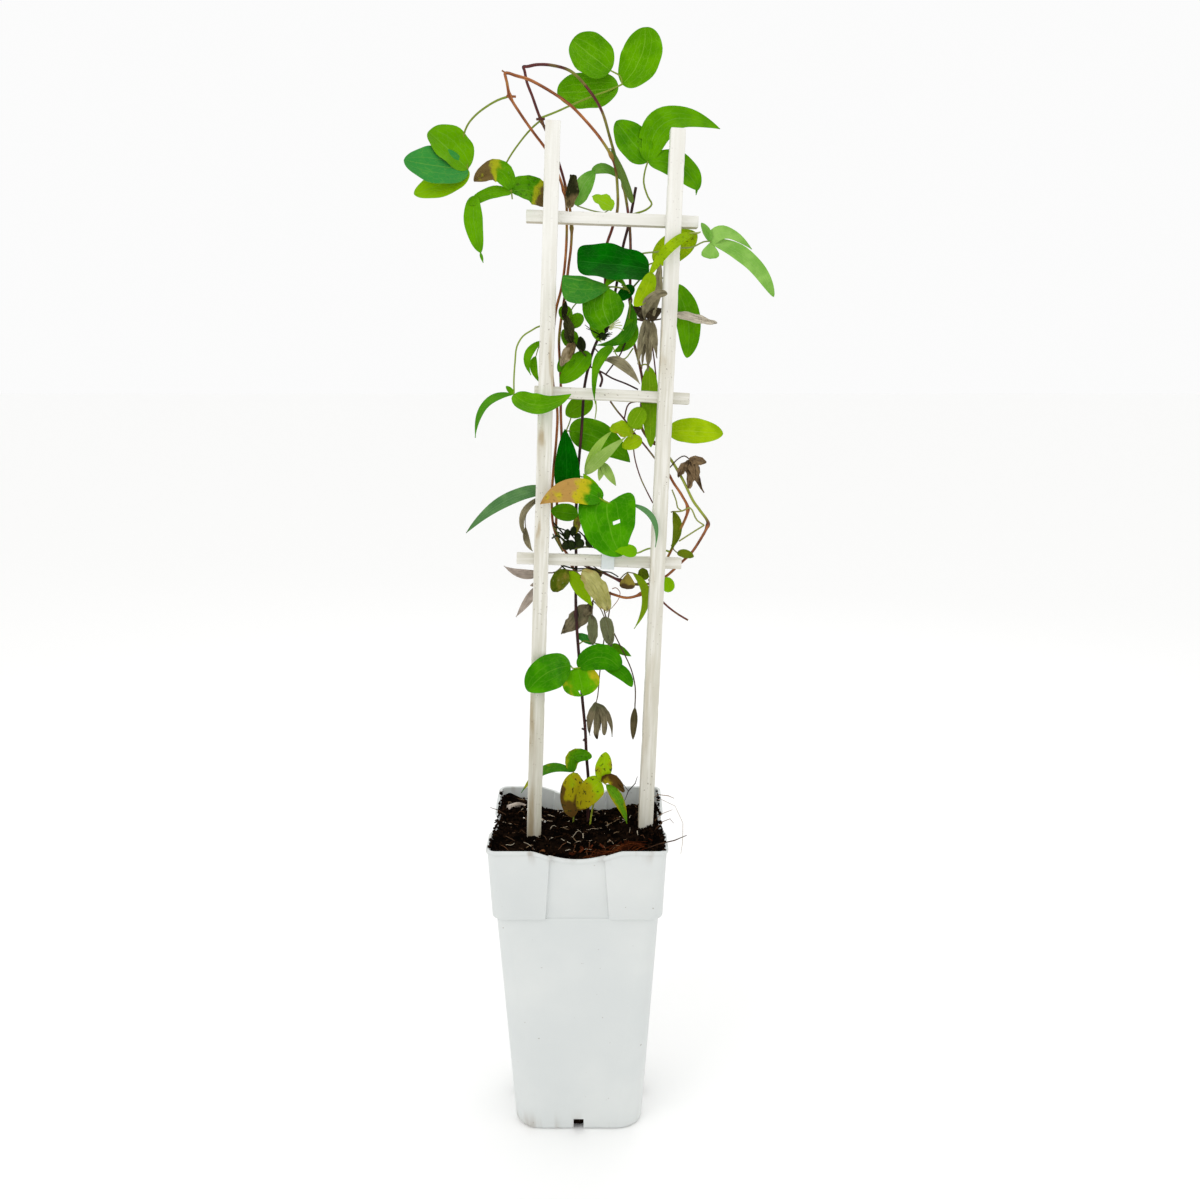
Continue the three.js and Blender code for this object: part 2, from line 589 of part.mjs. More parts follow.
addPiece('leaf_left_withering', 'leaf_mid', [
  stalk(1.5, [
    [-60.5, 2, 573], [-68, 2, 566], [-77, -0.5, 554], [-84.5, -4, 541.5], [-88, -6, 533],
    [-88, -6.5, 524.5], [-82, -6, 516],
  ]),
  stalk(1.3, [
    [-82, -6, 517.5], [-81, -6, 510.5],
  ]),
  blade(OVAL, [-82, -6, 517.5], [-110.5, -14, 520.5], 18, {
    mid: [-93.5, -13, 530], face: [0.2, -1, -0.3], fold: 24,
  }),
  blade(ROUND, [-82, -6, 515], [-113.5, -11, 503.5], 10, { mid: [-97.5, -9, 513.5], fold: 12 }),
  blade(OVAL, [-109.5, -10.5, 510.5], [-104, -11, 468], 15.5, {
    mid: [-110, -11, 491], face: [-0.3, -1, 0.2], fold: 12,
  }),
  blade(OVAL, [-82, -6, 516], [-53, 11, 510.5], 23, { mid: [-66.5, 3, 519.5], fold: 14 }),
]);

addPiece('leaf_upper_right', 'leaf_mid', [
  stalk(1.6, [
    [12, 21, 508], [16.5, 19, 509.5], [26, 18, 513], [30.5, 17, 517.5], [27, 15, 522.5], [23, 14, 533],
    [23.5, 13, 542], [25.5, 12.5, 549.5],
  ]),
  blade(OVAL, [25.5, 12.5, 549], [-1.5, 9, 577.5], 27, { fold: 8 }),
  blade(OVATE, [25.5, 12.5, 549.5], [81.5, 9, 576.5], 24.5, {
    mid: [40, 10.5, 580.5], face: [0.1, -1, 0.2], fold: 10,
  }),
  blade(OVAL, [25.5, 12.5, 549.5], [66.5, 10, 529], 22.5, { mid: [50.5, 10.5, 546], fold: 8 }),
]);

addPiece('leaf_arch_strap', 'leaf_grey', [
  stalk(1.0, [
    [-7.5, 19, 509], [-4, 16.5, 511], [-0.5, 15.5, 512.5],
  ]),
  stalk(1.2, [
    [4.5, 19.5, 509], [-7.5, 19, 509], [-16.5, 18, 510], [-24, 17, 511.5], [-29.5, 17, 513],
  ]),
  blade(OVATE, [-0.5, 15.5, 512.5], [-18, 12, 520], 15, { face: [0, -1, 0.5], fold: 14, wave: 1 }),
  blade(OVAL, [-29.5, 17, 513], [-16, 17, 540.5], 15, {
    mid: [-26, 16, 526.5], face: [0.5, -1, 0.3], fold: 10,
  }),
  blade(OVATE, [-18.5, 17, 539.5], [5.5, 22, 536], 9, {
    mid: [-6.5, 19, 543], face: [0.2, -1, 0.3], fold: 10,
  }),
]);

addPiece('leaf_arch_narrow', 'leaf_grey', [
  stalk(1.0, [
    [-6.5, 16, 558], [-3.5, 14, 557.5],
  ]),
  blade(LATE, [-4, 14.5, 557.5], [14.5, 14, 517], 6.5, { mid: [5, 13, 538.5], fold: 20 }),
]);

addPiece('leaf_withered_lath', 'dried_dark', [
  stalk(1.1, [
    [-38, 17.5, 514], [-36.5, 14, 510.5],
  ]),
  blade(BROAD, [-36.5, 14, 510.5], [-34.5, 10, 535], 12, {
    mid: [-35.5, 11, 522], face: [0.4, -1, 0], fold: 30, twist: 20,
  }),
]);

addPiece('leaf_canopy_dark', 'leaf_dark', [
  stalk(1.5, [
    [16.5, 17, 449.5], [23.5, 14, 458], [30, 10, 465.5],
  ]),
  blade(SQUARE, [30, 10, 465.5], [-28.5, 2, 467.5], 33.5, {
    mid: [1, 5, 467.5], face: [0, -1, 0.5], fold: 10,
  }),
]);

addPiece('leaf_canopy_grey', 'leaf_mid', [
  stalk(1.4, [
    [17, 17, 445], [13.5, 9, 448.5], [8, 5, 451.5],
  ]),
  stalk(1.4, [
    [13.5, 9, 448.5], [2.5, 4, 449.5], [-5, 1, 448.5],
  ]),
  blade(FAN, [0, 3, 449], [-40, -3, 454], 28, {
    mid: [-18, -2, 452], face: [0, -1, 0.4], fold: 12, lean: -0.8,
  }),
  blade(LANCE, [-5, 1, 448.5], [13.5, 8, 448], 7, { mid: [3, 4, 456.5], face: [0, -1, 0.5], fold: 12 }),
  blade(BROAD, [-4.5, 1, 448.5], [-1, -5, 418.5], 34, { mid: [-7, -5, 433], fold: 8 }),
]);

addPiece('leaf_flower_wrap', 'leaf_mid', [
  stalk(1.3, [
    [17, 17, 441.5], [16, 12, 439.5], [16, 11, 433], [15.5, 11, 426],
  ]),
  stalk(1.0, [
    [-6.5, 8, 408.5], [-7, 12, 407.5], [-6, 15.5, 407],
  ]),
  blade(LANCE, [16, 12.5, 439.5], [-11.5, 7.5, 403.5], 11.5, {
    mid: [14.5, 10, 414], face: [-0.4, -1, -0.2], fold: 24,
  }),
  blade(OVATE, [15.5, 11, 426], [4, 14, 399.5], 13, { mid: [16.5, 13, 409.5], fold: 16 }),
  blade(OVAL, [-7, 11.5, 407.5], [-14.5, 9, 429], 11.5, { fold: 16 }),
]);

addPiece('leaf_spotted', 'leaf_lime', [
  stalk(1.4, [
    [15.5, 18, 471.5], [25, 17.5, 469], [35.5, 18, 472.5],
  ]),
  stalk(1.4, [
    [66, 18, 495.5], [69, 17, 497], [70, 12, 497], [67.5, 5, 495], [63, -2, 493.5], [59, -7.5, 492],
  ]),
  blade(OVAL, [34.5, 18, 472.5], [68.5, 17.5, 496.5], 24.5, { mid: [52, 18, 486], fold: 5 }),
  blade(OVAL, [62, -3.5, 493], [28, -11, 457], 8.5, {
    mid: [42.5, -11.5, 479], face: [0.2, -1, 0.2], fold: 12,
  }),
  blade(OVAL, [29.5, -11, 460], [17.5, -8, 434], 13.5, {
    mid: [25.5, -11, 445.5], face: [0.2, -1, 0.2], fold: 12,
  }),
]);

addPiece('leaf_outer_right', 'leaf_grey', [
  stalk(1.4, [
    [15.5, 18.5, 476.5], [26.5, 13, 478.5], [34.5, 8.5, 479], [41, 7.5, 480], [54.5, 7.5, 483],
    [63.5, 7, 484], [72.5, 6, 488.5], [78, 5, 489],
  ]),
  blade(OVAL, [78, 5, 489], [69, 1, 502], 8, { fold: 30 }),
  blade(SWEPT, [78, 5, 489], [111, 2, 484], 12, { mid: [90, 2, 495.5], fold: 10 }),
  blade(FAN, [78, 5, 489], [77.5, 3, 475], 15, { fold: 12 }),
  blade(OVAL, [78, 5, 489], [130.5, 0, 447.5], 13.5, { mid: [108.5, 0, 475], fold: 10 }),
]);

addPiece('dried_upper', 'dried_grey', [
  stalk(1.2, [
    [32, 13, 426], [41, 12, 427], [50, 9, 432],
  ]),
  stalk(1.3, [
    [17.5, 17, 427.5], [25, 15, 426.5], [32, 13, 426],
  ]),
  blade(OVAL, [49.5, 9, 431.5], [86.5, 5, 425.5], 7.5, { fold: 25, twist: 60 }),
  blade(OVAL, [33, 13, 426], [39, 12, 471], 9, { mid: [36.5, 11, 448], fold: 25, twist: 30 }),
  blade(LANCE, [32, 13, 426], [27, 8.5, 454.5], 9, { mid: [26, 8, 440], fold: 35, twist: -50 }),
  blade(LATE, [28.5, 14, 426.5], [42.5, -14, 444.5], 8, { mid: [28.5, -13.5, 437.5], fold: 25 }),
  blade(LANCE, [29, 14, 426.5], [24.5, 13, 390.5], 7.5, { fold: 30, twist: 40 }),
  blade(LANCE, [32, 13, 426], [33, 12, 385.5], 7.5, { fold: 30, twist: -40 }),
  blade(LANCE, [34.5, 12.5, 426.5], [40, 13, 396], 6.5, { fold: 30, twist: 50 }),
]);

addPiece('leaf_right_rear', 'leaf_mid', [
  stalk(1.3, [
    [16, 17.5, 460], [31.5, 15, 461], [44.5, 13.5, 459], [52.5, 13.5, 455],
  ]),
  blade(OVAL, [52, 13.5, 455], [64.5, 14.5, 397.5], 21, { mid: [64, 14.5, 427.5], fold: 10 }),
]);

addPiece('leaves_mid_left', 'leaf_mid', [
  stalk(1.1, [
    [-33.5, 12, 424.5], [-30, 10.5, 433], [-24, 9.5, 439.5],
  ]),
  stalk(1.4, [
    [-14.5, 17.5, 391.5], [-20.5, 15, 397.5], [-26.5, 13, 403.5], [-31, 12.5, 414.5],
    [-33.5, 12, 424.5],
  ]),
  stalk(1.2, [
    [-26.5, 13, 403.5], [-29, 12.5, 391.5],
  ]),
  stalk(1.2, [
    [-20.5, 15, 397.5], [-16.5, 13.5, 399],
  ]),
  blade(OVAL, [-24, 9.5, 439.5], [-36, 8, 441], 9.5, { fold: 12 }),
  blade(ROUND, [-33, 12, 422.5], [-39, 10, 433.5], 11.5, { fold: 10 }),
  blade(ROUND, [-32, 12.5, 418], [-22, 10, 427], 11.5, { fold: 10 }),
  blade(OVAL, [-26, 13, 403], [-38, 10, 414.5], 14.5, { fold: 10 }),
  blade(OVAL, [-16.5, 13.5, 399], [-38.5, 10.5, 372.5], 17, { mid: [-25, 12, 386.5], fold: 10 }),
  blade(OVAL, [-28, 13, 397.5], [-40, 12, 381.5], 12, { fold: 10 }),
]);

addPiece('dried_mid_left', 'dried_dark', [
  stalk(1.2, [
    [-18, 12, 395], [-23, 9.5, 399.5], [-29, 8, 405.5],
  ]),
  stalk(1.0, [
    [-30, 8, 404.5], [-34.5, 7, 415], [-38, 7, 424.5],
  ]),
  blade(OVATE, [-30, 8, 404.5], [-39, 6.5, 429], 12, { fold: 45, twist: 50 }),
  blade(LANCE, [-37.5, 7, 423.5], [-36, 5, 437], 6.5, { fold: 35 }),
  blade(OVAL, [-21.5, 10.5, 398], [-23.5, 8, 410], 9.5, { fold: 40 }),
  blade(OVAL, [-28.5, 8, 405], [-38, 9, 386], 10.5, { fold: 30, twist: 30 }),
]);

addPiece('leaf_twisted_front', 'leaf_light', [
  stalk(1.2, [
    [20.5, 17.5, 403.5], [14, 15, 394.5], [7, 8.5, 396], [3, 5, 402.5],
  ]),
  stalk(1.0, [
    [-9.5, -1, 359], [-8.5, 4, 352], [-9, 9, 344],
  ]),
  blade(TAILED, [3, 5, 402.5], [-10, -1.5, 356.5], 9.5, {
    mid: [-9.5, -1.5, 386.5], fold: 24, twist: 50, wave: 0.8,
  }),
]);

addPiece('dried_grey_mid', 'dried_grey', [
  stalk(1.2, [
    [-10.5, 17, 401.5], [-6.5, 13, 397], [-1.5, 11, 391.5],
  ]),
  blade(LANCE, [-2.5, 11.5, 392.5], [26.5, 10, 374.5], 10.5, { mid: [13, 8, 388], fold: 35, twist: 50 }),
]);

addPiece('leaf_long_yellow', 'leaf_lime', [
  stalk(1.3, [
    [27, 17.5, 389.5], [31, 17, 391], [35, 17, 389],
  ]),
  blade(OVAL, [34.5, 17, 389], [38, 11.5, 324], 14.5, { mid: [36, 16, 360.5], fold: 6 }),
]);

addPiece('leaf_left_outer', 'leaf_light', [
  stalk(1.2, [
    [-50.5, 11, 417], [-52.5, 9, 410.5], [-54.5, 8, 404],
  ]),
  stalk(1.0, [
    [-54.5, 8, 404], [-57, 7, 398.5], [-58.5, 6.5, 392.5],
  ]),
  stalk(1.5, [
    [-45.5, 14.5, 414.5], [-50.5, 11, 417], [-57, 7, 416], [-63, 2, 412], [-69.5, -1, 407],
    [-74, -3, 398.5], [-75, -5, 387], [-75.5, -7, 372], [-75, -8, 361],
  ]),
  blade(LANCE, [-54, 8, 405], [-62, 0, 377], 7, { mid: [-65, 2, 392], fold: 12 }),
  blade(LANCE, [-58.5, 6.5, 392.5], [-54.5, 8, 371.5], 6.5, { mid: [-60, 6.5, 383], fold: 12 }),
  blade(LANCE, [-75, -8, 361], [-104.5, -12, 325.5], 7, {
    mid: [-97, -13, 351.5], face: [-0.3, -1, 0.3], fold: 14,
  }),
  blade(OVATE, [-75, -8, 361], [-30, -12, 363], 19, {
    mid: [-54.5, -14.5, 353], face: [0, -1, 0.5], fold: 14,
  }),
  blade(OVAL, [-75, -8, 361], [-81.5, -9, 367], 4.5, { fold: 10 }),
]);

addPiece('leaf_lath_dark', 'leaf_dark', [
  stalk(1.3, [
    [-21, 18, 290], [-24, 14, 281], [-29.5, 11, 280.5],
  ]),
  blade(OVATE, [-29, 11, 280.5], [-33, 11, 336], 21.5, { mid: [-30.5, 9.5, 307], fold: 12 }),
]);

addPiece('leaf_broad_rear', 'leaf_mid', [
  stalk(1.2, [
    [-31.5, 23, 334.5], [-29, 25.5, 341], [-27, 26.5, 348.5],
  ]),
  stalk(1.3, [
    [-35, 21.5, 332], [-33, 23, 333.5], [-30.5, 23.5, 334.5], [-27.5, 23, 334.5],
  ]),
  blade(OVAL, [-11, 24, 361.5], [-32, 27, 347.5], 17.5, { fold: 6 }),
  blade(OVATE, [-29, 23, 334.5], [22.5, 22, 311], 28, { mid: [-2, 25, 328.5], fold: 6 }),
]);

addPiece('leaves_pale', 'leaf_pale', [
  stalk(1.2, [
    [-20.5, 18, 299], [-16.5, 14.5, 297.5], [-11, 13, 303.5],
  ]),
  stalk(1.0, [
    [-11, 13, 303.5], [-5, 13, 311], [-0.5, 12.5, 309],
  ]),
  blade(LANCE, [-15, 14, 299.5], [17, 9, 331.5], 10.5, { mid: [-2, 8, 314.5], fold: 12 }),
  blade(LANCE, [-15, 14, 299], [6.5, 13.5, 336.5], 7.5, { mid: [-7, 12.5, 320], fold: 12 }),
  blade(OVATE, [-1.5, 12.5, 309.5], [10.5, 10, 291.5], 8, { fold: 14 }),
  blade(OVATE, [-0.5, 12.5, 309], [-3.5, 11, 295], 6.5, { fold: 14 }),
]);

addPiece('leaves_curled_yellow', 'leaf_lime', [
  stalk(1.2, [
    [29, 15, 329.5], [23.5, 14, 329.5], [22, 12.5, 334], [21, 12, 339],
  ]),
  stalk(1.0, [
    [23.5, 14, 329.5], [30.5, 14.5, 331],
  ]),
  stalk(1.0, [
    [22, 12.5, 334], [26, 13, 339],
  ]),
  blade(ROUND, [21, 12, 339], [30, 12, 355.5], 15.5, { fold: 14 }),
  blade(OVAL, [23, 13, 335], [3.5, 9, 338], 16.5, { face: [0, -1, 0.6], fold: 24, wave: 1 }),
  blade(OVAL, [30.5, 14.5, 331], [14.5, 11, 323], 12.5, { fold: 12 }),
  blade(OVAL, [25, 13, 338], [28.5, 14, 345.5], 9, { fold: 10 }),
]);

addPiece('leaf_lime_right', 'leaf_lime', [
  stalk(1.3, [
    [36, 19, 332.5], [42.5, 18, 333.5], [47.5, 13, 336], [51, 9, 337.5],
  ]),
  blade(OVAL, [51, 9, 337.5], [96.5, 7, 337], 21.5, { mid: [73.5, 9, 338.5], fold: 8 }),
]);

addPiece('dried_bundle', 'dried_brown', [
  stalk(1.2, [
    [46.5, 9, 302.5], [54.5, 9, 308.5], [59.5, 8.5, 314.5], [65.5, 8, 318], [70.5, 7, 315],
  ]),
  blade(OVAL, [70, 7, 315], [61, 5, 300.5], 9, { fold: 40, twist: 60 }),
  blade(OVAL, [70.5, 7, 315], [69.5, 4, 291.5], 10.5, { fold: 40, twist: -50 }),
  blade(OVAL, [70.5, 7, 315], [78, 4, 297.5], 10.5, { fold: 40, twist: 40 }),
  blade(OVAL, [69.5, 7, 315.5], [83.5, 6, 313], 10, { fold: 40 }),
  blade(LANCE, [70.5, 7, 315], [83, 7, 288.5], 6, { fold: 35, twist: 90 }),
  blade(OVAL, [70, 7, 315], [75, 10, 300.5], 12.5, { fold: 20 }),
]);

addStem('stalks_right', 'stalk_green', [
  stalk(1.3, [
    [59.5, 9, 272], [65.5, 5.5, 273], [71.5, 1, 276], [77, -2, 266.5], [83, -3.5, 262.5],
  ]),
  stalk(1.2, [
    [57, 10, 290], [60.5, 6.5, 281], [62, 6, 275.5], [65.5, 5.5, 273],
  ]),
  stalk(1.3, [
    [83, -3.5, 262.5], [74, 2, 255.5], [64.5, 7, 248],
  ]),
]);

addPiece('leaf_right_low', 'leaf_olive', [
  stalk(1.1, [
    [57, 10, 271.5], [59.5, 9, 272.5],
  ]),
  stalk(1.1, [
    [58.5, 9.5, 244.5], [61, 10.5, 240.5], [64, 11.5, 238],
  ]),
  blade(LANCE, [58.5, 9, 272.5], [57.5, 8.5, 239.5], 9, { mid: [62.5, 8, 256.5], fold: 30 }),
  blade(OVAL, [64, 11.5, 238], [77.5, 7.5, 235.5], 9, { face: [0, -1, 0.7], fold: 20 }),
]);

addPiece('leaf_blue_long', 'leaf_blue', [
  stalk(1.3, [
    [-42, 17, 284], [-43.5, 13, 285], [-46, 9.5, 286],
  ]),
  blade(OVATE, [-45.5, 10, 286], [-110, -6, 249.5], 12, {
    mid: [-79.5, 2, 276], face: [0, -1, 0.5], fold: 10,
  }),
]);

addPiece('dried_left', 'dried_grey', [
  stalk(1.1, [
    [-41.5, 17, 276], [-46.5, 12, 280], [-51.5, 8.5, 280],
  ]),
  stalk(1.0, [
    [-51.5, 8.5, 280], [-60, 6, 271], [-63, 4.5, 262], [-62, 3.5, 253],
  ]),
  blade(OVAL, [-50.5, 9, 280], [-62, 3, 247.5], 6.5, { mid: [-64, 5, 266], fold: 35, twist: 70 }),
  blade(LANCE, [-62.5, 3.5, 255.5], [-56, 2, 236], 6.5, { mid: [-61, 3, 244], fold: 35 }),
]);

addPiece('dried_left_low', 'dried_pink', [
  stalk(1.2, [
    [-27, 22.5, 227], [-36, 18, 218], [-44.5, 13, 217.5], [-50, 11, 217.5],
  ]),
  stalk(1.1, [
    [-44.5, 13, 217.5], [-47.5, 10.5, 211.5], [-50, 8, 206],
  ]),
  blade(LANCE, [-48.5, 11.5, 217.5], [-79, 3, 223], 9, { mid: [-64, 7, 216.5], fold: 25 }),
  blade(LANCE, [-49, 9, 208.5], [-68, 4, 181], 8, { fold: 25 }),
  blade(OVAL, [-48, 9.5, 210], [-57, 7, 207], 4, { fold: 10 }),
]);

addPiece('leaf_front_large', 'leaf_bright', [
  stalk(1.7, [
    [59, 17, 238], [48, 14, 241], [41, 9.5, 241], [36, 4, 240], [31.5, -2, 238.5], [28.5, -6, 238],
  ]),
  stalk(1.5, [
    [3.5, -6, 278], [-3.5, -5.5, 281.5], [-7, -6, 286.5],
  ]),
  stalk(1.2, [
    [3.5, -6, 278], [13, -5.5, 276.5], [22, -7, 277.5],
  ]),
  blade(HEART, [3, -6, 278], [16.5, -7, 235.5], 47, { mid: [5.5, -11, 256.5], fold: 7 }),
  blade(OVATE, [28.5, -6, 238], [7, -8, 241], 10.5, { mid: [18.5, -9, 240.5], fold: 7 }),
  blade(OVATE, [-1.5, -5.5, 280.5], [-51.5, -12, 275], 21, { mid: [-27.5, -12.5, 286.5], fold: 10 }),
  blade(OVATE, [-4.5, -5.5, 283], [-17.5, -5, 300.5], 9.5, { fold: 8 }),
  blade(LANCE, [22, -7, 277.5], [43, -9, 243.5], 5, { mid: [40, -10, 266.5], fold: 8 }),
]);

addPiece('leaf_lath_rear', 'leaf_mid', [
  stalk(1.2, [
    [-20.5, 17.5, 265], [-19.5, 14, 267],
  ]),
  blade(OVAL, [-19.5, 14, 267], [-42, 12, 269], 15, { fold: 10 }),
  blade(LANCE, [-19.5, 14.5, 266.5], [-21.5, 14, 248], 7.5, { fold: 30 }),
]);

addPiece('buds_dark', 'bud_black', [
  ball([-24.5, 14, 241.5], 8.5, 8),
  ball([-17, 13, 243], 8, 7.5),
  ball([-9, 14, 244], 7.5, 8),
  ball([-2.5, 13.5, 241.5], 7.5, 6.5),
  ball([4.5, 14, 240], 5, 5),
  stalk(1.4, [
    [-32, 14, 239.5], [-23.5, 13, 238], [-13.5, 13, 240], [-2, 14, 239.5], [5, 14, 238],
  ]),
  stalk(1.2, [
    [-37, 17, 253], [-32, 14, 239.5],
  ]),
  stalk(1.2, [
    [-39.5, 17, 255.5], [-34, 13, 248.5], [-26, 12, 238],
  ]),
  stalk(1.2, [
    [-39.5, 17.5, 249.5], [-36, 13, 243.5], [-31, 12, 235.5],
  ]),
]);

addPiece('leaves_below_rung', 'leaf_olive', [
  stalk(1.3, [
    [-28, 13, 220.5], [-19.5, 14.5, 219.5], [-9.5, 13, 221], [2, 12, 220.5],
  ]),
  stalk(1.2, [
    [-19, 17.5, 217.5], [-19.5, 14.5, 219.5],
  ]),
  blade(OVAL, [-27.5, 13, 220.5], [-38, 12, 202], 16, { fold: 25, wave: 1.5 }),
  blade(LANCE, [-25, 13.5, 220], [-5, 12.5, 191], 12.5, { fold: 10 }),
  blade(OVAL, [2, 12, 220.5], [-12.5, 14, 210.5], 11, { fold: 20 }),
]);

addPiece('dried_beige', 'dried_beige', [
  stalk(1.1, [
    [-2, 10, 214], [-9, 7, 218.5], [-15, 6, 220.5],
  ]),
  blade(OVAL, [-15, 6, 220.5], [7, 4, 188.5], 18, { mid: [-2, 2, 206.5], fold: 18, wave: 2.2 }),
]);

addPiece('leaf_low_right', 'leaf_olive', [
  stalk(1.1, [
    [18, 17.5, 214], [20.5, 12.5, 218], [23.5, 10.5, 220.5],
  ]),
  stalk(1.1, [
    [32.5, 18, 210], [35, 13, 216.5], [40.5, 12, 221],
  ]),
  stalk(1.1, [
    [35, 13, 216.5], [29.5, 10, 219.5], [23.5, 10.5, 220.5],
  ]),
  blade(FAN, [23.5, 10.5, 220.5], [23, 8, 206.5], 14, { fold: 20, wave: 1 }),
  blade(OVAL, [40.5, 12, 221], [32, 10, 217], 11, { fold: 16, wave: 1 }),
  blade(LANCE, [27.5, 10, 220], [30, 4, 174], 7.5, { mid: [39, 6, 201], fold: 10 }),
]);

addPiece('leaflet_right_low', 'leaf_light', [
  stalk(1.1, [
    [51.5, 18, 220.5], [53.5, 13, 218], [54.5, 9, 217],
  ]),
  blade(ROUND, [54, 10, 217], [60, 9, 205.5], 11.5, { fold: 10 }),
]);

addPiece('dried_hanging', 'dried_grey', [
  stalk(1.3, [
    [1.5, 17.5, 203.5], [-4, 20, 194.5], [-7, 22, 186.5],
  ]),
  stalk(1.1, [
    [-4, 20, 194.5], [-4.5, 16, 187], [-4.5, 13, 180],
  ]),
  stalk(1.1, [
    [-4, 20, 194.5], [2, 17.5, 189], [6, 13, 181],
  ]),
  blade(OVATE, [-6, 21.5, 189], [-29.5, 24, 165], 16, { fold: 16 }),
  blade(OVAL, [-4.5, 14.5, 183.5], [-3, 13.5, 158], 10, { fold: 25 }),
  blade(OVATE, [6, 13.5, 182], [12.5, 13.5, 156.5], 12.5, { fold: 20 }),
  blade(OVAL, [-4.5, 20.5, 193], [-11, 18, 181], 7.5, { fold: 25 }),
]);

addPiece('leaf_low_rear', 'leaf_mid', [
  stalk(1.2, [
    [-15, 18.5, 157], [-10, 20.5, 160], [-1.5, 20.5, 158.5], [8.5, 20.5, 157], [13.5, 20, 157.5],
  ]),
  blade(OVAL, [-0.5, 20.5, 158.5], [-17, 22, 165.5], 7.5, { fold: 10 }),
  blade(OVATE, [13, 20, 157.5], [30.5, 21, 148], 7.5, { fold: 10 }),
]);

addPiece('leaf_low_front', 'leaf_bright', [
  stalk(1.6, [
    [-13, 19, 139], [-14.5, 14.5, 138],
  ]),
  stalk(1.4, [
    [-14.5, 14.5, 138], [-19, 12, 138], [-21, 10, 140.5],
  ]),
  stalk(1.1, [
    [-14.5, 14.5, 138], [-4.5, 13, 139], [7, 12.5, 139.5],
  ]),
  blade(OVAL, [-21, 10, 140.5], [-56.5, -14.5, 123], 29.5, {
    mid: [-41.5, -12, 138], fold: 7, lean: -0.05,
  }),
  blade(ROUND, [-15, 14.5, 138], [-9, 8, 115.5], 32, { fold: 6 }),
  blade(ROUND, [-14, 14.5, 138], [20, 8, 140], 22, { mid: [3, 8, 149], fold: 8 }),
  blade(OVAL, [7, 12.5, 139.5], [31, 9, 124], 12, { mid: [21, 9, 136.5], fold: 8 }),
]);

addPiece('flower_withered', 'dried_grey', [
  stalk(1.1, [
    [10, 16.5, 203], [10, 18.5, 185.5], [6.5, 17.5, 162], [4, 17, 133.5], [3, 15, 115],
    [1.5, 14, 107.5],
  ]),
  blade(LANCE, [2, 14, 109.5], [-2.5, 12, 80.5], 7, { mid: [-3, 12, 96], fold: 30 }),
  blade(LATE, [2, 14, 108.5], [3.5, 11, 78], 6, { fold: 30, twist: 50 }),
  blade(LATE, [2, 14, 108.5], [9.5, 11, 81.5], 6, { mid: [8, 12, 98], fold: 30 }),
  blade(LANCE, [2, 14, 108.5], [16.5, 14, 79.5], 6, { mid: [12, 13, 97.5], fold: 30, twist: -50 }),
  blade(LANCE, [2, 14, 108.5], [6.5, 18, 84], 6, { fold: 30 }),
]);

addPiece('bud_withered', 'dried_brown', [
  turned([[0, 0], [1.8, 0.12], [3.3, 0.4], [2.6, 0.7], [0.8, 0.95], [0, 1]], 6,
    [34.5, 11, 106.5], [34, 11, 78]),
  stalk(1.1, [
    [3, 17.5, 203.5], [6.5, 15, 183.5], [15.5, 17.5, 166.5], [23, 16, 152.5], [30, 13, 138.5],
    [34, 12, 123.5], [34.5, 11, 104],
  ]),
]);

addRooted('leaves_base_left', 'leaf_mid', [
  stalk(1.6, [
    [-12.5, 27, -12.5], [-13, 24, 10], [-12.5, 22, 25.5], [-15, 20, 47.5],
  ]),
  blade(ROUND, [-15, 20, 46.5], [0, 14, 61.5], 13, { mid: [-15, 16, 61], fold: 12 }),
  blade(LANCE, [-15, 20, 46.5], [-58.5, 44, 20], 8.5, {
    mid: [-38.5, 20, 48], face: [0, -1, 0.6], fold: 12,
  }),
]);

addRooted('leaves_base_yellow', 'leaf_lime', [
  stalk(1.5, [
    [0.5, 18, -9], [2, 16, 13], [5, 14, 28.5], [8.5, 14, 41],
  ]),
  stalk(1.4, [
    [5, 14, 28.5], [-5, 16, 38], [-12, 17, 46.5],
  ]),
  stalk(1.3, [
    [8.5, 14, 41], [14, 13, 37.5],
  ]),
  blade(OVAL, [-12, 17, 46.5], [-14.5, 10, 10], 19.5, { mid: [-16.5, 11, 29], fold: 10 }),
  blade(OVAL, [8.5, 14, 41], [-10.5, 9, 16.5], 20.5, { mid: [0, 9, 33.5], fold: 10 }),
  blade(OVAL, [9, 14, 40.5], [11.5, 11, 67], 14.5, { fold: 8 }),
  blade(OVAL, [9.5, 14, 40], [28.5, 11, 32.5], 10, { mid: [17.5, 11, 43.5], fold: 25 }),
  blade(LANCE, [13, 13, 38], [31.5, 5, 6.5], 10, { mid: [23.5, 8, 26.5], fold: 14 }),
]);

// The spent flower on the main stem's end: a dark centre with stiff dark styles round it.
const FLOWER = [-5.5, 12.5, 411.5];
const STYLES = 15;
const STYLE_LONG = 9;

function spentFlower() {
  const shapes = [ball(FLOWER, 8, 7), stalk(1.8, [[-7.5, 16.5, 408], [-6.5, 14.5, 410], FLOWER])];
  for (let k = 0; k < STYLES; k += 1) {
    const turn = (2 * Math.PI * k) / STYLES;
    const long = STYLE_LONG + 3.5 * Math.sin(5 * k + 1);
    const out = [Math.cos(turn), -0.35 - 0.3 * Math.cos(3 * k), 0.35 + 0.85 * Math.sin(turn)];
    shapes.push(spike(1.3, FLOWER, FLOWER.map((value, axis) => value + long * out[axis])));
  }
  return shapes;
}

addPiece('flower_spent', 'bud_black', spentFlower());

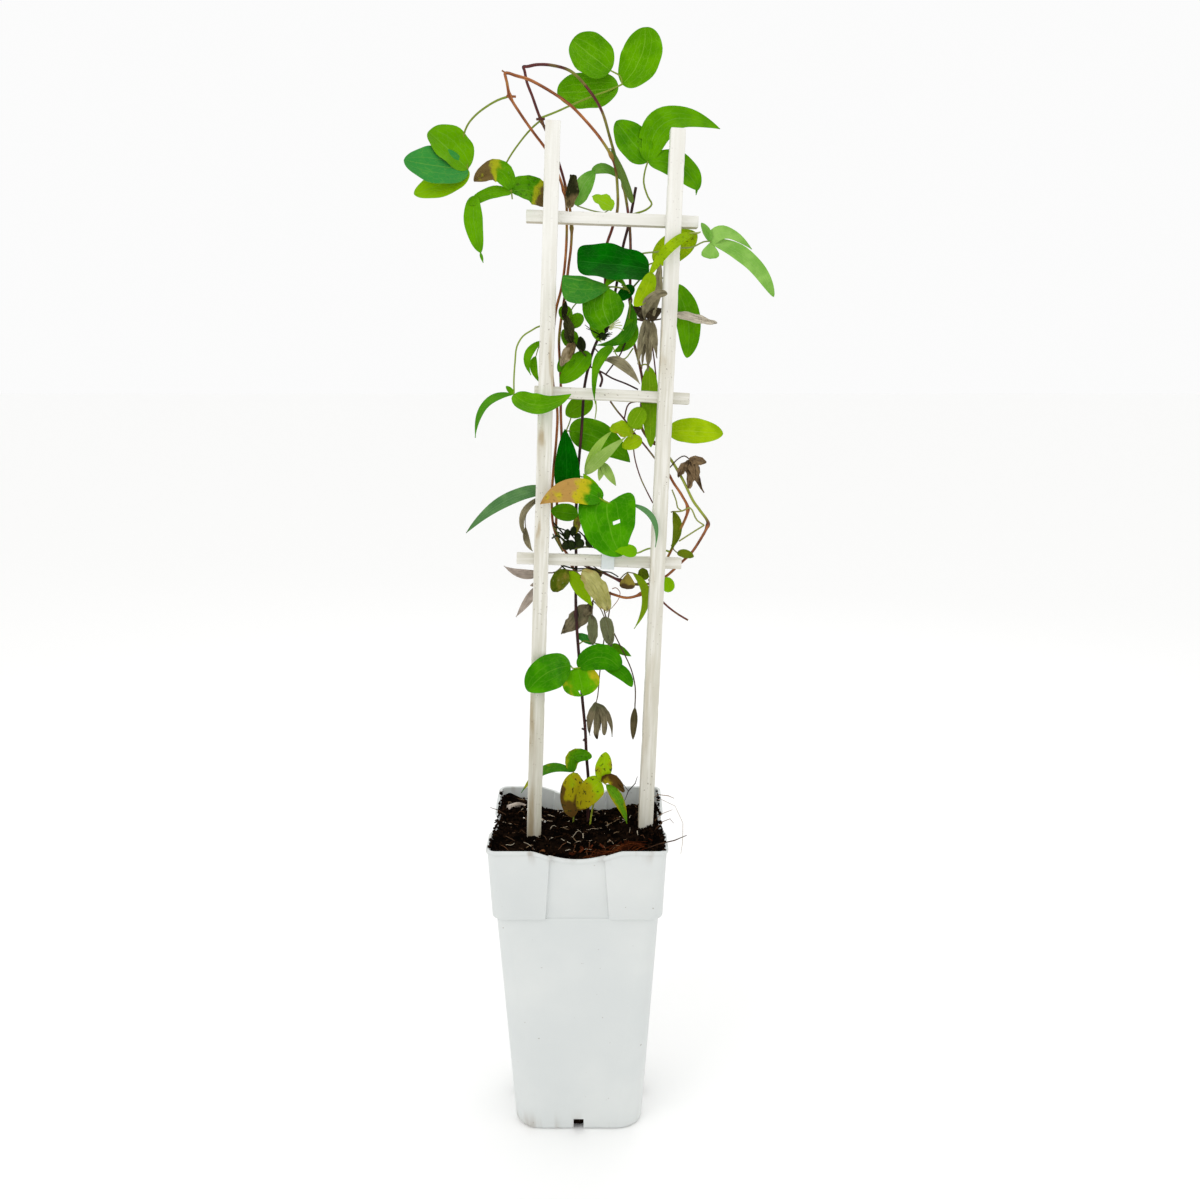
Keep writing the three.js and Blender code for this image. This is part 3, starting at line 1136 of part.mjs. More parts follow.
// Cream filaments that have come loose on one side of the flower.
const FILAMENT_ROOT = [0.9, 8.8, 417.5];
const FILAMENTS = 7;
const FILAMENT_HIGH = 11;

function filaments() {
  const [x, y, z] = FILAMENT_ROOT;
  const shapes = [ball(FILAMENT_ROOT, 3.4, 2.6)];
  for (let k = 0; k < FILAMENTS; k += 1) {
    const spread = -7 + 2.9 * k;
    const tip = [x + spread, y - 2.5, z + FILAMENT_HIGH - 0.12 * spread ** 2];
    shapes.push(spike(1.1, FILAMENT_ROOT, tip));
  }
  return shapes;
}

addPiece('flower_filaments', 'petal_cream', filaments());

// A pale cut stem end that pokes out of the soil at the back left.
addRooted('stem_cut_pale', 'dried_pink', [
  stalk(4.6, [[-69, 44, 7], [-60, 56, 5.5], [-49, 67, -3], [-41, 73, -15]]),
]);

// ---------------------------------------------------------------- soil

const SOIL_INSET = POT_WALL + GAP + 0.05;
const SOIL_POINTS = 32; // points round the soil's surface
const SOIL_REACH = 80; // half width that the surface is laid out to, past the pot's wall
const SOIL_SHARES = [1, 0.85, 0.68, 0.46, 0.22]; // its rings, from the wall to the middle

const SOIL_HEAP = 7; // rise towards the left and right
const SOIL_BACK = 9; // fall towards the back
const SOIL_BACK_LEFT = 0.8; // share of that fall made up in the left rear corner
const SOIL_HOLLOW = 5; // depth of the hollow behind the front rim's dip
const SOIL_AT_WALL = 2.5; // fall along the wall
const SOIL_BELOW_RIM = 2.5; // least depth below the rim's corners

// Height of the soil: heaped at the left and right, low at the back and along the wall, with clumps.
function soilHeight(x, y) {
  const heaped = SOIL_HEAP * (x / 60) ** 2;
  const backLeft = THREE.MathUtils.smoothstep(-x, 30, 50);
  const back = SOIL_BACK * Math.max(0, y / 60) ** 1.5 * (1 - SOIL_BACK_LEFT * backLeft);
  const frontHollow = SOIL_HOLLOW * Math.exp(-((x / 24) ** 2)) * THREE.MathUtils.smoothstep(-y, 30, 60);
  const clumps = 1.5 * Math.sin(x / 6.5 + 1.3) * Math.cos(y / 8) + 1.1 * Math.sin((x + 1.7 * y) / 4.1);
  const wall = SOIL_AT_WALL * THREE.MathUtils.smoothstep(Math.max(Math.abs(x), Math.abs(y)), 55, 69);
  return Math.min(SOIL_TOP + heaped - back - frontHollow + clumps - wall, POT_HEIGHT - SOIL_BELOW_RIM);
}

// The pot's inside, filled to the top, cut off by the soil's own surface.
function makeSoil() {
  const collar = { collar: true };
  const inside = toSolid(skin([
    wallRing(FLOOR_THICK + GAP, FOOT_ROUND + SOIL_INSET),
    wallRing(FOOT_ROUND + SOIL_INSET, SOIL_INSET),
    wallRing(COLLAR_LOW + POT_WALL - 1 + 2 * GAP, SOIL_INSET),
    wallRing(COLLAR_LOW + POT_WALL + 2 * GAP, SOIL_INSET, collar),
    wallRing(POT_HEIGHT, SOIL_INSET, collar),
  ]));
  const outline = [];
  for (let k = 0; k < SOIL_POINTS; k += 1) {
    const angle = (2 * Math.PI * (k + 0.5)) / SOIL_POINTS;
    const [c, s] = [Math.cos(angle), Math.sin(angle)];
    const out = SOIL_REACH / Math.max(Math.abs(c), Math.abs(s));
    outline.push(new THREE.Vector3(c * out, s * out, 0));
  }
  const surface = SOIL_SHARES.map((share) => outline.map((p) => {
    const [x, y] = [p.x * share, p.y * share];
    return new THREE.Vector3(x, y, soilHeight(x, y));
  }));
  const foot = outline.map((p) => new THREE.Vector3(p.x, p.y, -5));
  let soil = inside.intersect(toSolid(skin([foot, ...surface])));
  for (const hole of soilHoles()) soil = soil.subtract(hole);
  return toGeometry(largest(soil));
}

// Plain holes for the uprights and for every stem that stands in the soil.
function soilHoles() {
  const place = (geometry) => toSolid(geometry.applyMatrix4(lattice.matrixWorld));
  const holes = STILES.map(({ foot, top }) => {
    const slope = Math.atan2(top - foot, STILE_ABOVE);
    return place(lath(STILE_WIDE + 2 * GAP, STILE_DEEP + 2 * GAP, STILE_IN_SOIL + 40)
      .translate(0, 0, -STILE_IN_SOIL - GAP)
      .rotateY(slope)
      .translate(foot, 0, 0));
  });
  return [...holes, ...rooted.map((shape) => place(shape.room.clone()))];
}

const plantInPot = new THREE.Group();
addMesh(plantInPot, 'pot', makePot(), 'pot_plastic');
addMesh(plantInPot, 'soil', makeSoil(), 'peat');
plantInPot.add(lattice);

export default plantInPot;
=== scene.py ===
# A clematis in a tall square nursery pot, climbing a small white lath trellis.
# Metres, +Z up, in the row's own frame; sizes of the pot and the plant are written in millimetres.
import math
import random

import bmesh
import bpy
from mathutils import Matrix, Vector, noise


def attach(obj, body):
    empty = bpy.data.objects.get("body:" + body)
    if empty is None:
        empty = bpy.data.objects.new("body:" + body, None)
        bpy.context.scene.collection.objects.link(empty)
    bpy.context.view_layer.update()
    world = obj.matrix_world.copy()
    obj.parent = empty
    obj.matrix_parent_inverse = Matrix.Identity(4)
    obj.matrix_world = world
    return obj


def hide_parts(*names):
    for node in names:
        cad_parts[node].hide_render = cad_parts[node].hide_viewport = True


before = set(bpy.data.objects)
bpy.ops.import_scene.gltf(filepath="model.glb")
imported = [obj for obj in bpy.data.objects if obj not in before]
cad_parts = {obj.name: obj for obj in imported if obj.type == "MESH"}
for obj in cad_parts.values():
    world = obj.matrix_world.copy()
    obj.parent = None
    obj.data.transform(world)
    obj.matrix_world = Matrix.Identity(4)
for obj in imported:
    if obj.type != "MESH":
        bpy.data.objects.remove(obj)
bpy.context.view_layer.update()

bpy.ops.object.select_all(action="DESELECT")

# ------------------------------------------------------------------ studio
# A pale seamless floor, a large soft light over the front left, a weak one at the right, one
# behind, and a bright white room. The camera stands a little under a metre away, looking down.

SCENE = bpy.context.scene
SCENE.view_settings.view_transform = "Standard"
FLOOR_SIZE, FLOOR_BACK = 24, 9
ROOM_WHITE = 0.97
LENS, SENSOR, CLOSEST = 34.71, 36, 0.01
CAMERA_PLACE, CAMERA_TILT = (0.0183, -0.930, 0.6455), math.radians(78.2)


def shade(code):
    """A colour as a maker's chart gives it, turned into linear light."""
    values = [int(code[k:k + 2], 16) / 255 for k in (1, 3, 5)]
    return (*[v / 12.92 if v <= 0.04045 else ((v + 0.055) / 1.055) ** 2.4 for v in values], 1.0)


world = bpy.data.worlds.new("white_room")
world.use_nodes = True
room = world.node_tree.nodes["Background"]
room.inputs[0].default_value, room.inputs[1].default_value = (1, 1, 1, 1), ROOM_WHITE
SCENE.world = world

bpy.ops.mesh.primitive_plane_add(size=FLOOR_SIZE, location=(0, FLOOR_BACK, 0))
floor = bpy.context.object
floor.name = "floor"
paper = bpy.data.materials.new("pale_paper")
paper.use_nodes = True
for socket, value in (("Base Color", shade("#fefefd")), ("Roughness", 0.9)):
    paper.node_tree.nodes["Principled BSDF"].inputs[socket].default_value = value
floor.data.materials.append(paper)

for name, place, aim, size, power in (
    ("soft_left", (-0.95, -1.15, 1.55), (0, 0, 0.45), 0.9, 5),
    ("soft_right", (1.3, -0.7, 1.1), (0, 0, 0.5), 0.9, 1),
    ("soft_back", (0.3, 1.3, 1.5), (0, 0, 0.6), 1.0, 3),
):
    lamp = bpy.data.lights.new(name, "AREA")
    lamp.size, lamp.energy = size, power
    holder = bpy.data.objects.new(name, lamp)
    holder.location = place
    holder.rotation_euler = (Vector(aim) - Vector(place)).to_track_quat("-Z", "Y").to_euler()
    SCENE.collection.objects.link(holder)

lens = bpy.data.cameras.new("camera")
lens.sensor_width, lens.lens, lens.clip_start = SENSOR, LENS, CLOSEST
camera = bpy.data.objects.new("camera", lens)
camera.location, camera.rotation_euler = CAMERA_PLACE, (CAMERA_TILT, 0, 0)
SCENE.collection.objects.link(camera)
SCENE.camera = camera

# ------------------------------------------------------------------ pot
# A tall square pot, injection-moulded in pale grey plastic in one shot. Its stacking collar
# stands proud of the body but for a flat panel in the middle of each side, where the rim dips.

POT_HIGH, POT_WALL = 262, 1.6
FOOT_HALF, BODY_HALF = 54.3, 69.7
COLLAR_HIGH, COLLAR_LOW_HALF, COLLAR_TOP_HALF = 60, 69.2, 71.9
COLLAR_LOW = POT_HIGH - COLLAR_HIGH
FOOT_CORNER, RIM_CORNER, CORNER_STEPS = 22, 7, 8
PANEL_LOW_HALF, PANEL_TOP_HALF, COLUMN_FOOT_HALF, PANEL_EASE = 25.5, 21.5, 14, 0.5
RIM_DIP, RIM_DIP_HALF, RIM_DIP_EASE = 7.8, 36, 1.25
LIP_PROUD, LIP_HIGH, FOOT_ROUND = 1.2, 2.6, 3
LIP_LOW = POT_HIGH - LIP_HIGH
SLOT_WIDE, SLOT_HIGH, SLOT_DEEP, SLOT_SPARE = 8.5, 10.5, 14, 5
QUARTER = math.pi / 2
SMOOTH_EDGE = 35


def mix(low, high, share):
    """The value that lies so far on the way from one to the other."""
    return low + (high - low) * share


def rim_dip(u):
    """How far the rim lies below its corners, u millimetres from the middle of a side."""
    return RIM_DIP * max(0, 1 - (u / RIM_DIP_HALF) ** 2) ** RIM_DIP_EASE


def wall_ring(z, inset, collar=False, dropping=False):
    """Points round the pot's wall, in millimetres, `inset` inside its outer face."""
    if z > COLLAR_LOW:
        edge = mix(PANEL_LOW_HALF, PANEL_TOP_HALF, (z - COLLAR_LOW) / COLLAR_HIGH) + inset
    else:
        edge = mix(COLUMN_FOOT_HALF, PANEL_LOW_HALF, z / COLLAR_LOW) + inset
    proud = panel = mix(FOOT_HALF, BODY_HALF, z / POT_HIGH) - inset
    if collar:
        proud = mix(COLLAR_LOW_HALF, COLLAR_TOP_HALF, (z - COLLAR_LOW) / COLLAR_HIGH) - inset
        panel += 0.3 if inset < 0 else 0
    radius = max(2, mix(FOOT_CORNER, RIM_CORNER, z / POT_HIGH) - inset)
    brim = min(RIM_DIP_HALF + 0.5, proud - radius - 0.3)
    half_side = [(mix(edge + PANEL_EASE, brim, share), proud) for share in (1, 0.8, 0.6, 0.4, 0.2, 0)]
    half_side += [(edge - PANEL_EASE, panel)] + [(edge * share, panel) for share in (0.8, 0.6, 0.4, 0.2)]
    side = [(-u, out) for u, out in half_side] + [(0, panel)] + half_side[::-1]
    ring, centre = [], proud - radius
    for quarter in range(4):
        turn = Matrix.Rotation(quarter * QUARTER, 3, "Z")
        ring += [turn @ Vector((u, -out, z - rim_dip(u) if dropping else z)) for u, out in side]
        for step in range(CORNER_STEPS + 1):
            angle = step / CORNER_STEPS * QUARTER
            spot = Vector((centre + radius * math.sin(angle), -centre - radius * math.cos(angle), z))
            ring.append(turn @ spot)
    return ring


def skin(bm, rows):
    """A closed skin over rows of points of equal count; gives the faces between the rows."""
    faces = []
    count = len(rows[0])
    for low, high in zip(rows, rows[1:]):
        for k in range(count):
            faces.append(bm.faces.new((low[k], low[(k + 1) % count], high[(k + 1) % count], high[k])))
    bm.faces.new(rows[0][::-1])
    bm.faces.new(rows[-1])
    return faces


def moulded(bm, rings):
    """A skin over rings that are given in millimetres."""
    skin(bm, [[bm.verts.new(point / 1000) for point in ring] for ring in rings])


def smooth_edges(piece, degrees):
    """Selects one piece alone and smooths all but its sharper edges."""
    bpy.ops.object.select_all(action="DESELECT")
    piece.select_set(True)
    bpy.context.view_layer.objects.active = piece
    if degrees:
        bpy.ops.object.shade_smooth_by_angle(angle=math.radians(degrees))


def finished(name, bm, finish, degrees=None):
    """Turns worked faces into a named piece with its finish."""
    mesh = bpy.data.meshes.new(name)
    bm.to_mesh(mesh)
    bm.free()
    piece = bpy.data.objects.new(name, mesh)
    SCENE.collection.objects.link(piece)
    mesh.materials.append(finish.material)
    smooth_edges(piece, degrees)
    return piece


def enter(piece, node=None):
    """Enters a piece in the frame. It rides on the one body, and may stand for a node."""
    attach(piece, "root")
    if node:
        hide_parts(node)


bm = bmesh.new()
BODY, COLLAR, RIM = (False, False), (True, False), (True, True)
moulded(bm, [wall_ring(z, inset, *zone) for zone, rows in (
    (BODY, [(0, FOOT_ROUND), (0.6, FOOT_ROUND * 0.55), (1.4, FOOT_ROUND * 0.2), (FOOT_ROUND, 0),
            (SLOT_HIGH + 2, 0), (30, 0), (60, 0), (100, 0), (140, 0), (175, 0),
            (COLLAR_LOW - 1.2, 0), (COLLAR_LOW - 0.3, -0.15)]),
    (COLLAR, [(COLLAR_LOW + 0.01, 0.35), (COLLAR_LOW + 0.7, 0)]),
    (RIM, [(LIP_LOW - 0.9, 0), (LIP_LOW - 0.2, -LIP_PROUD + 0.2), (LIP_LOW + 0.3, -LIP_PROUD),
           (POT_HIGH - 0.6, -LIP_PROUD), (POT_HIGH - 0.05, -LIP_PROUD + 0.6), (POT_HIGH - 0.05, POT_WALL - 0.5),
           (POT_HIGH - 0.6, POT_WALL)]),
    (COLLAR, [(COLLAR_LOW + POT_WALL, POT_WALL)]),
    (BODY, [(COLLAR_LOW + POT_WALL - 1, POT_WALL), (FOOT_ROUND + POT_WALL, POT_WALL),
            (POT_WALL + 0.4, FOOT_ROUND + POT_WALL)]),
) for z, inset in rows])


class Finish:
    """One material: its shader, the colour laid up so far, and the patterns it is built from.
    Colours are given by their chart codes, and sizes on the surface in metres."""

    def __init__(self, name, colour, rough, specular=0.5):
        self.material = bpy.data.materials.new(name)
        self.material.use_nodes = True
        self.tree = self.material.node_tree
        self.shader = self.tree.nodes["Principled BSDF"]
        self.set("Base Color", shade(colour))
        self.set("Roughness", rough)
        self.set("Specular IOR Level", specular)

    def set(self, socket, value):
        """A number or colour for the whole surface, or a pattern that feeds the shader."""
        if isinstance(value, bpy.types.NodeSocket):
            self.tree.links.new(value, self.shader.inputs[socket])
        else:
            self.shader.inputs[socket].default_value = value

    def put(self, kind, inputs, **settings):
        """Adds a node, sets it and joins or fills its inputs; gives all its outputs."""
        node = self.tree.nodes.new("ShaderNode" + kind)
        for key, value in settings.items():
            setattr(node, key, value)
        for key, value in inputs.items():
            if isinstance(value, bpy.types.NodeSocket):
                self.tree.links.new(value, node.inputs[key])
            else:
                node.inputs[key].default_value = shade(value) if isinstance(value, str) else value
        return node.outputs

    def where(self):
        """The place in the object, in metres."""
        return self.put("TexCoord", {})["Object"]

    def attribute(self, name):
        """What the piece's own points say: a colour, and a fourth value."""
        return self.put("VertexColor", {}, layer_name=name)

    def combine(self, kind, first, second):
        """Arithmetic on two patterns, or on a pattern and a number."""
        return self.put("Math", {0: first, 1: second}, operation=kind)[0]

    def add(self, first, second):
        return self.combine("ADD", first, second)

    def times(self, first, second):
        return self.combine("MULTIPLY", first, second)

    def most(self, first, second):
        return self.combine("MAXIMUM", first, second)

    def blend(self, share, first, second):
        """From one colour to another."""
        return self.put("Mix", {0: share, 6: first, 7: second}, data_type="RGBA")[2]

    def rise(self, value, low, high):
        """0 below low, 1 above high, smooth between."""
        return self.put("MapRange", {"Value": value, "From Min": low, "From Max": high},
                        interpolation_type="SMOOTHSTEP")[0]

    def grain(self, where, scale, detail=4.0, stretch=(1, 1, 1)):
        """Cloudy noise, which may be stretched along an axis."""
        spot = self.put("Mapping", {"Vector": where, "Scale": stretch})[0]
        return self.put("TexNoise", {"Vector": spot, "Scale": scale, "Detail": detail})[0]

    def lay(self, colour, mask, strength=1):
        """Lays a colour over what is there, as far as the mask lets it."""
        mask = mask if strength == 1 else self.times(mask, strength)
        self.colour = self.blend(mask, self.colour, colour)

    def close(self, height, depth, strength):
        """Gives the shader its colour, and a height pattern that catches the light."""
        self.set("Base Color", self.colour)
        self.set("Normal", self.put("Bump", {"Height": height, "Distance": depth, "Strength": strength})[0])


plastic = Finish("grey_plastic", "#d5d9d8", 0.42)
where = plastic.where()
height = plastic.put("SeparateXYZ", {0: where})[2]
cloud, fine = plastic.grain(where, 14, 5), plastic.grain(where, 420, 3)
streak = plastic.grain(where, 60, 6, stretch=(1, 1, 0.12))
plastic.colour = plastic.blend(plastic.rise(cloud, 0.35, 0.75), "#d1d5d4", "#d9dcda")
dirt = plastic.most(plastic.rise(height, 0.022, -0.004), plastic.rise(height, 0.246, 0.262))
plastic.lay("#8a7a66", plastic.times(dirt, plastic.rise(streak, 0.5, 0.72)), 0.7)
plastic.lay("#7a6a58", plastic.rise(plastic.grain(where, 240, 2), 0.74, 0.78), 0.5)
plastic.set("Roughness", plastic.put("MapRange", {"Value": cloud, "To Min": 0.36, "To Max": 0.55})[0])
plastic.close(plastic.add(fine, plastic.times(streak, 0.6)), 0.00008, 0.4)

pot = finished("square_pot", bm, plastic)
for quarter in range(4):
    turn = Matrix.Rotation(quarter * QUARTER, 4, "Z")
    place = Vector((0, (-2 * FOOT_HALF + SLOT_DEEP - SLOT_SPARE) / 2000, (SLOT_HIGH - SLOT_SPARE) / 2000))
    bpy.ops.mesh.primitive_cube_add(size=1, location=turn @ place, rotation=(0, 0, quarter * QUARTER))
    cutter = bpy.context.object
    cutter.scale = [size / 1000 for size in (SLOT_WIDE, SLOT_DEEP + SLOT_SPARE, SLOT_HIGH + SLOT_SPARE)]
    bpy.ops.object.select_all(action="DESELECT")
    bpy.context.view_layer.objects.active = pot
    cut = pot.modifiers.new("drain_slot", "BOOLEAN")
    cut.object, cut.operation, cut.solver = cutter, "DIFFERENCE", "EXACT"
    bpy.ops.object.modifier_apply(modifier=cut.name)
    bpy.data.objects.remove(cutter)
smooth_edges(pot, SMOOTH_EDGE)
enter(pot, "pot")

# ------------------------------------------------------------------ soil
# Moist black-brown peat compost, filled by hand to just under the rim and heaped at the
# left and right. Crumbs, straw-coloured fibres, perlite and a few bark chips lie on it.

SOIL_TOP, SOIL_BELOW_RIM = 252.5, 2.5
SOIL_INSET = POT_WALL + 0.35
HEAPED_SIDES, FALL_BACK, HOLLOW_FRONT, SUNK_EDGE = 7, 9, 5, 2.5
SOIL_RINGS, SOIL_CLUMPS = 46, 1.5
RIM_TOP, LIP_OUTER = POT_HIGH + 0.2, 68.5
UPRIGHT_FEET = (-37.5, 56.5)
LOOSE_REACH = 66
dice = random.Random(7)


def eased(value, low, high):
    """0 below low, 1 above high, smooth between."""
    share = min(1, max(0, (value - low) / (high - low)))
    return share * share * (3 - 2 * share)


def soil_height(x, y):
    """The compost as it is filled: heaped at the sides, lower at the back and round the front."""
    heaped = HEAPED_SIDES * (x / 60) ** 2
    back = FALL_BACK * max(0, y / 60) ** 1.5 * (1 - 0.8 * eased(-x, 30, 50))
    hollow = HOLLOW_FRONT * math.exp(-((x / 24) ** 2)) * eased(-y, 30, 60)
    clumps = 1.5 * math.sin(x / 6.5 + 1.3) * math.cos(y / 8) + 1.1 * math.sin((x + 1.7 * y) / 4.1)
    edge = SUNK_EDGE * eased(max(abs(x), abs(y)), 55, 69)
    return min(SOIL_TOP + heaped - back - hollow + clumps - edge, POT_HIGH - SOIL_BELOW_RIM)


def soil_surface(x, y):
    """The same with its own crumbly unevenness."""
    return soil_height(x, y) + noise.fractal(Vector((x, y, 0)) / 5, 0.9, 2.1, 4) * SOIL_CLUMPS - 0.4


bm = bmesh.new()
mouth = wall_ring(POT_HIGH - 12, SOIL_INSET, *COLLAR)
for point in mouth:
    point.z = soil_height(point.x, point.y) - 0.5
rings = [wall_ring(POT_WALL + 0.8, FOOT_ROUND + SOIL_INSET), wall_ring(FOOT_ROUND + SOIL_INSET, SOIL_INSET),
         wall_ring(COLLAR_LOW + 1.3, SOIL_INSET), wall_ring(COLLAR_LOW + 2.4, SOIL_INSET, *COLLAR), mouth]
for step in range(1, SOIL_RINGS):
    share = 1 - step / SOIL_RINGS
    rings.append([Vector((p.x * share, p.y * share, soil_surface(p.x * share, p.y * share))) for p in mouth])
moulded(bm, rings)
peat = Finish("peat_compost", "#1d1410", 0.95, specular=0)
where = peat.where()
lumps = peat.put("TexVoronoi", {"Vector": where, "Scale": 420})["Distance"]
cloud = peat.grain(where, 90, 8)
peat.colour = peat.blend(peat.rise(cloud, 0.42, 0.66), "#070504", "#1a110b")
peat.lay("#3a2819", peat.rise(peat.grain(where, 700, 4), 0.66, 0.76))
peat.close(peat.add(lumps, cloud), 0.0012, 0.9)
enter(finished("compost", bm, peat, degrees=60), "soil")


def laid_on_soil(name, bm, colour, rough):
    """Gives loose bits their finish, from each one's own tint, and enters them in the frame."""
    bmesh.ops.scale(bm, vec=(0.001, 0.001, 0.001), verts=bm.verts)
    litter = Finish(name + "_finish", colour, rough, specular=0)
    litter.colour = litter.attribute("tint")[0]
    cloud = litter.grain(litter.where(), 900, 4)
    litter.lay("#0e0a07", litter.rise(cloud, 0.45, 0.7), 0.5)
    litter.close(cloud, 0.0004, 0.8)
    enter(finished(name, bm, litter))


def scattered(x_zone, y_zone, z_zone=(0, 0)):
    """Draws a place: across, forward, and how high above the soil."""
    return dice.uniform(*x_zone), dice.uniform(*y_zone), dice.uniform(*z_zone) if any(z_zone) else 0


def anywhere():
    return scattered((-62, 62), (-62, 62))


def front_bark():
    return scattered((-30, 60), (-63, -38))


def bark_corner():
    return scattered((8, 54), (-60, -46), (0, 2))


def on_rim():
    """Spilt over the left and right rims, which the soil reaches."""
    side, along = dice.choice((-1, 1)), dice.uniform(-69, 62)
    across = dice.uniform(58, 71)
    on_lip = max(0, RIM_TOP - rim_dip(along) - soil_surface(65 * side, along))
    return side * across, along, on_lip if across > LIP_OUTER else 0


def at_uprights():
    """Pressed up against the feet of the two uprights."""
    side, turn = dice.choice(UPRIGHT_FEET), dice.uniform(0, 6.28)
    return side + 8.5 * math.cos(turn), -13 + 8 * math.sin(turn), dice.uniform(0, 3.5)


def any_way():
    """A random direction and length, as three numbers."""
    return dice.gauss(0, 1), dice.gauss(0, 1), dice.gauss(0, 1)


CRUMBS = ("#100a07", "#18100b", "#0b0705", "#24170e")
PERLITE = ("#f0eee8", "#d9d3c4")
CHIPS = ("#4a2212", "#5a2c19", "#38190c", "#6a4428")
for name, count, sizes, flat, colours, zone, rough in (
    ("peat_crumbs", 1100, (1.2, 4.0), 0.7, CRUMBS, anywhere, 0.95),
    ("rim_crumbs", 850, (1.2, 3.6), 0.7, CRUMBS, on_rim, 0.95),
    ("foot_crumbs", 150, (1.2, 3.6), 0.8, CRUMBS, at_uprights, 0.95),
    ("perlite_bits", 20, (1.0, 3.0), 0.9, PERLITE, anywhere, 0.9),
    ("bark_chips", 26, (3, 7), 0.3, CHIPS, front_bark, 0.85),
):
    bm = bmesh.new()
    tint = bm.verts.layers.float_color.new("tint")
    for _ in range(count):
        x, y, lift = zone()
        size = dice.uniform(*sizes)
        angle, (a, b, c) = dice.uniform(0, 6.28), any_way()
        turn = Matrix.Rotation(angle, 4, (a, b, c + 0.1))
        scale = Matrix.Diagonal((size, size * dice.uniform(0.55, 0.9), size * flat, 1))
        high = soil_surface(math.copysign(min(abs(x), 65), x), y) + lift + size * 0.15
        lump = bmesh.ops.create_icosphere(bm, subdivisions=1, radius=0.5,
                                          matrix=Matrix.Translation((x, y, high)) @ turn @ scale)
        colour = shade(dice.choice(colours))
        for vert in lump["verts"]:
            vert.co += Vector(any_way()) * size * 0.07
            vert[tint] = colour
    laid_on_soil(name, bm, colours[0], rough)


def add_strand(bm, code, thick, points):
    """A thin straw through its points, four-sided, finer at its ends."""
    tint, colour = bm.verts.layers.float_color["tint"], shade(code)
    rows = []
    for k, spot in enumerate(points):
        along = (points[min(k + 1, len(points) - 1)] - points[max(k - 1, 0)]).normalized()
        side = along.cross(Vector((0.05, 0.1, 1))).normalized()
        other = along.cross(side)
        radius = thick / 2 * (0.55 if k in (0, len(points) - 1) else 1)
        rows.append([bm.verts.new(spot + (side * a + other * b) * radius)
                     for a, b in ((1, 0), (0, 1), (-1, 0), (0, -1))])
        for vert in rows[-1]:
            vert[tint] = colour
    skin(bm, rows)


def scatter_strands(count, longs, thicks, codes, zone, heading):
    """Bent fibres lying loosely on the soil."""
    bm = bmesh.new()
    bm.verts.layers.float_color.new("tint")
    for _ in range(count):
        x, y, lift = zone()
        turn, long = dice.gauss(*heading), dice.uniform(*longs)
        along, aside = Vector((math.cos(turn), math.sin(turn), 0)), Vector((-math.sin(turn), math.cos(turn), 0))
        bow, arch = dice.uniform(-0.15, 0.15) * long, dice.uniform(0.2, 0.16 * long)
        points = []
        for k in range(5):
            bent = math.sin(math.pi * k / 4)
            spot = Vector((x, y, 0)) + along * long * (k / 4 - 0.5) + aside * bow * bent
            spot.x, spot.y = [max(-LOOSE_REACH, min(LOOSE_REACH, value)) for value in spot[:2]]
            spot.z = soil_surface(spot.x, spot.y) + lift + 0.3 + arch * bent
            points.append(spot)
        add_strand(bm, dice.choice(codes), dice.uniform(*thicks), points)
    return bm


STRAW = ("#b7a48c", "#8c7458", "#5f4836", "#c8bba4", "#3f2a1a", "#6c4a34")
BARK_FIBRE = ("#4a2210", "#653418", "#33170a")
laid_on_soil("straws", scatter_strands(165, (3.5, 12), (0.35, 0.75), STRAW, anywhere, (0, 3)), STRAW[0], 0.85)
bm = scatter_strands(110, (5, 16), (0.4, 0.9), BARK_FIBRE, bark_corner, (0.1, 0.3))
for code, thick, *points in (
    ("#b9a99a", 0.5, (62, 40, 260), (72, 34, 264.5), (84, 24, 262), (90, 10, 252), (89, -4, 241),
     (87, -10, 232)),
    ("#8a6a4c", 0.7, (60, 44, 258), (70, 41, 266), (79, 38, 266), (84, 37, 264)),
    ("#4a3527", 1.0, (54, -58, 258), (66, -60, 263.5), (78, -60, 266.5), (88, -59, 270.5)),
    ("#6a4a34", 0.6, (64, -20, 258), (71, -20, 266), (77, -19, 268), (80, -19, 264)),
    ("#8a6a4c", 0.5, (64, -2, 258), (70, -2, 265), (76, -3, 268), (80, -4, 270)),
    ("#5a4232", 0.7, (-60, 10, 258), (-70, 8, 265), (-76, 6, 268)),
    ("#3a2a1e", 0.9, (40, 62, 250), (44, 60, 262), (50, 58, 270), (52, 57, 277)),
    ("#3a2a1e", 0.7, (44, 60, 262), (40, 59, 268), (37, 59, 270)),
):
    add_strand(bm, code, thick, [Vector(point) for point in points])
laid_on_soil("bark_mat", bm, "#5e2c14", 0.85)

# ------------------------------------------------------------------ trellis
# Two planed softwood laths stand in the soil and three thinner ones lie across their backs.
# All are painted thin white, which is worn, specked with soil and stained near the ground.

TRELLIS = (Matrix.Translation((0.0099, -0.015, 0.254)) @ Matrix.Rotation(math.radians(-4.6), 4, "X")
           @ Matrix.Rotation(math.radians(2.3), 4, "Y") @ Matrix.Rotation(math.radians(4.0), 4, "Z")
           @ Matrix.Scale(0.001, 4))
STILE_WIDE, STILE_DEEP, STILE_HIGH, STILE_IN_SOIL = 12.2, 10, 572, 110
RUNG_HIGH, RUNG_DEEP, RUNG_STAIN = 9.6, 9, 0.3
RUNG_Y = STILE_DEEP / 2 + 0.3 + RUNG_DEEP / 2
LATH_BEVEL, LATH_GAP, LATH_STEP, CHIP_DEEPEST = 0.75, 0.12, 5, 0.6


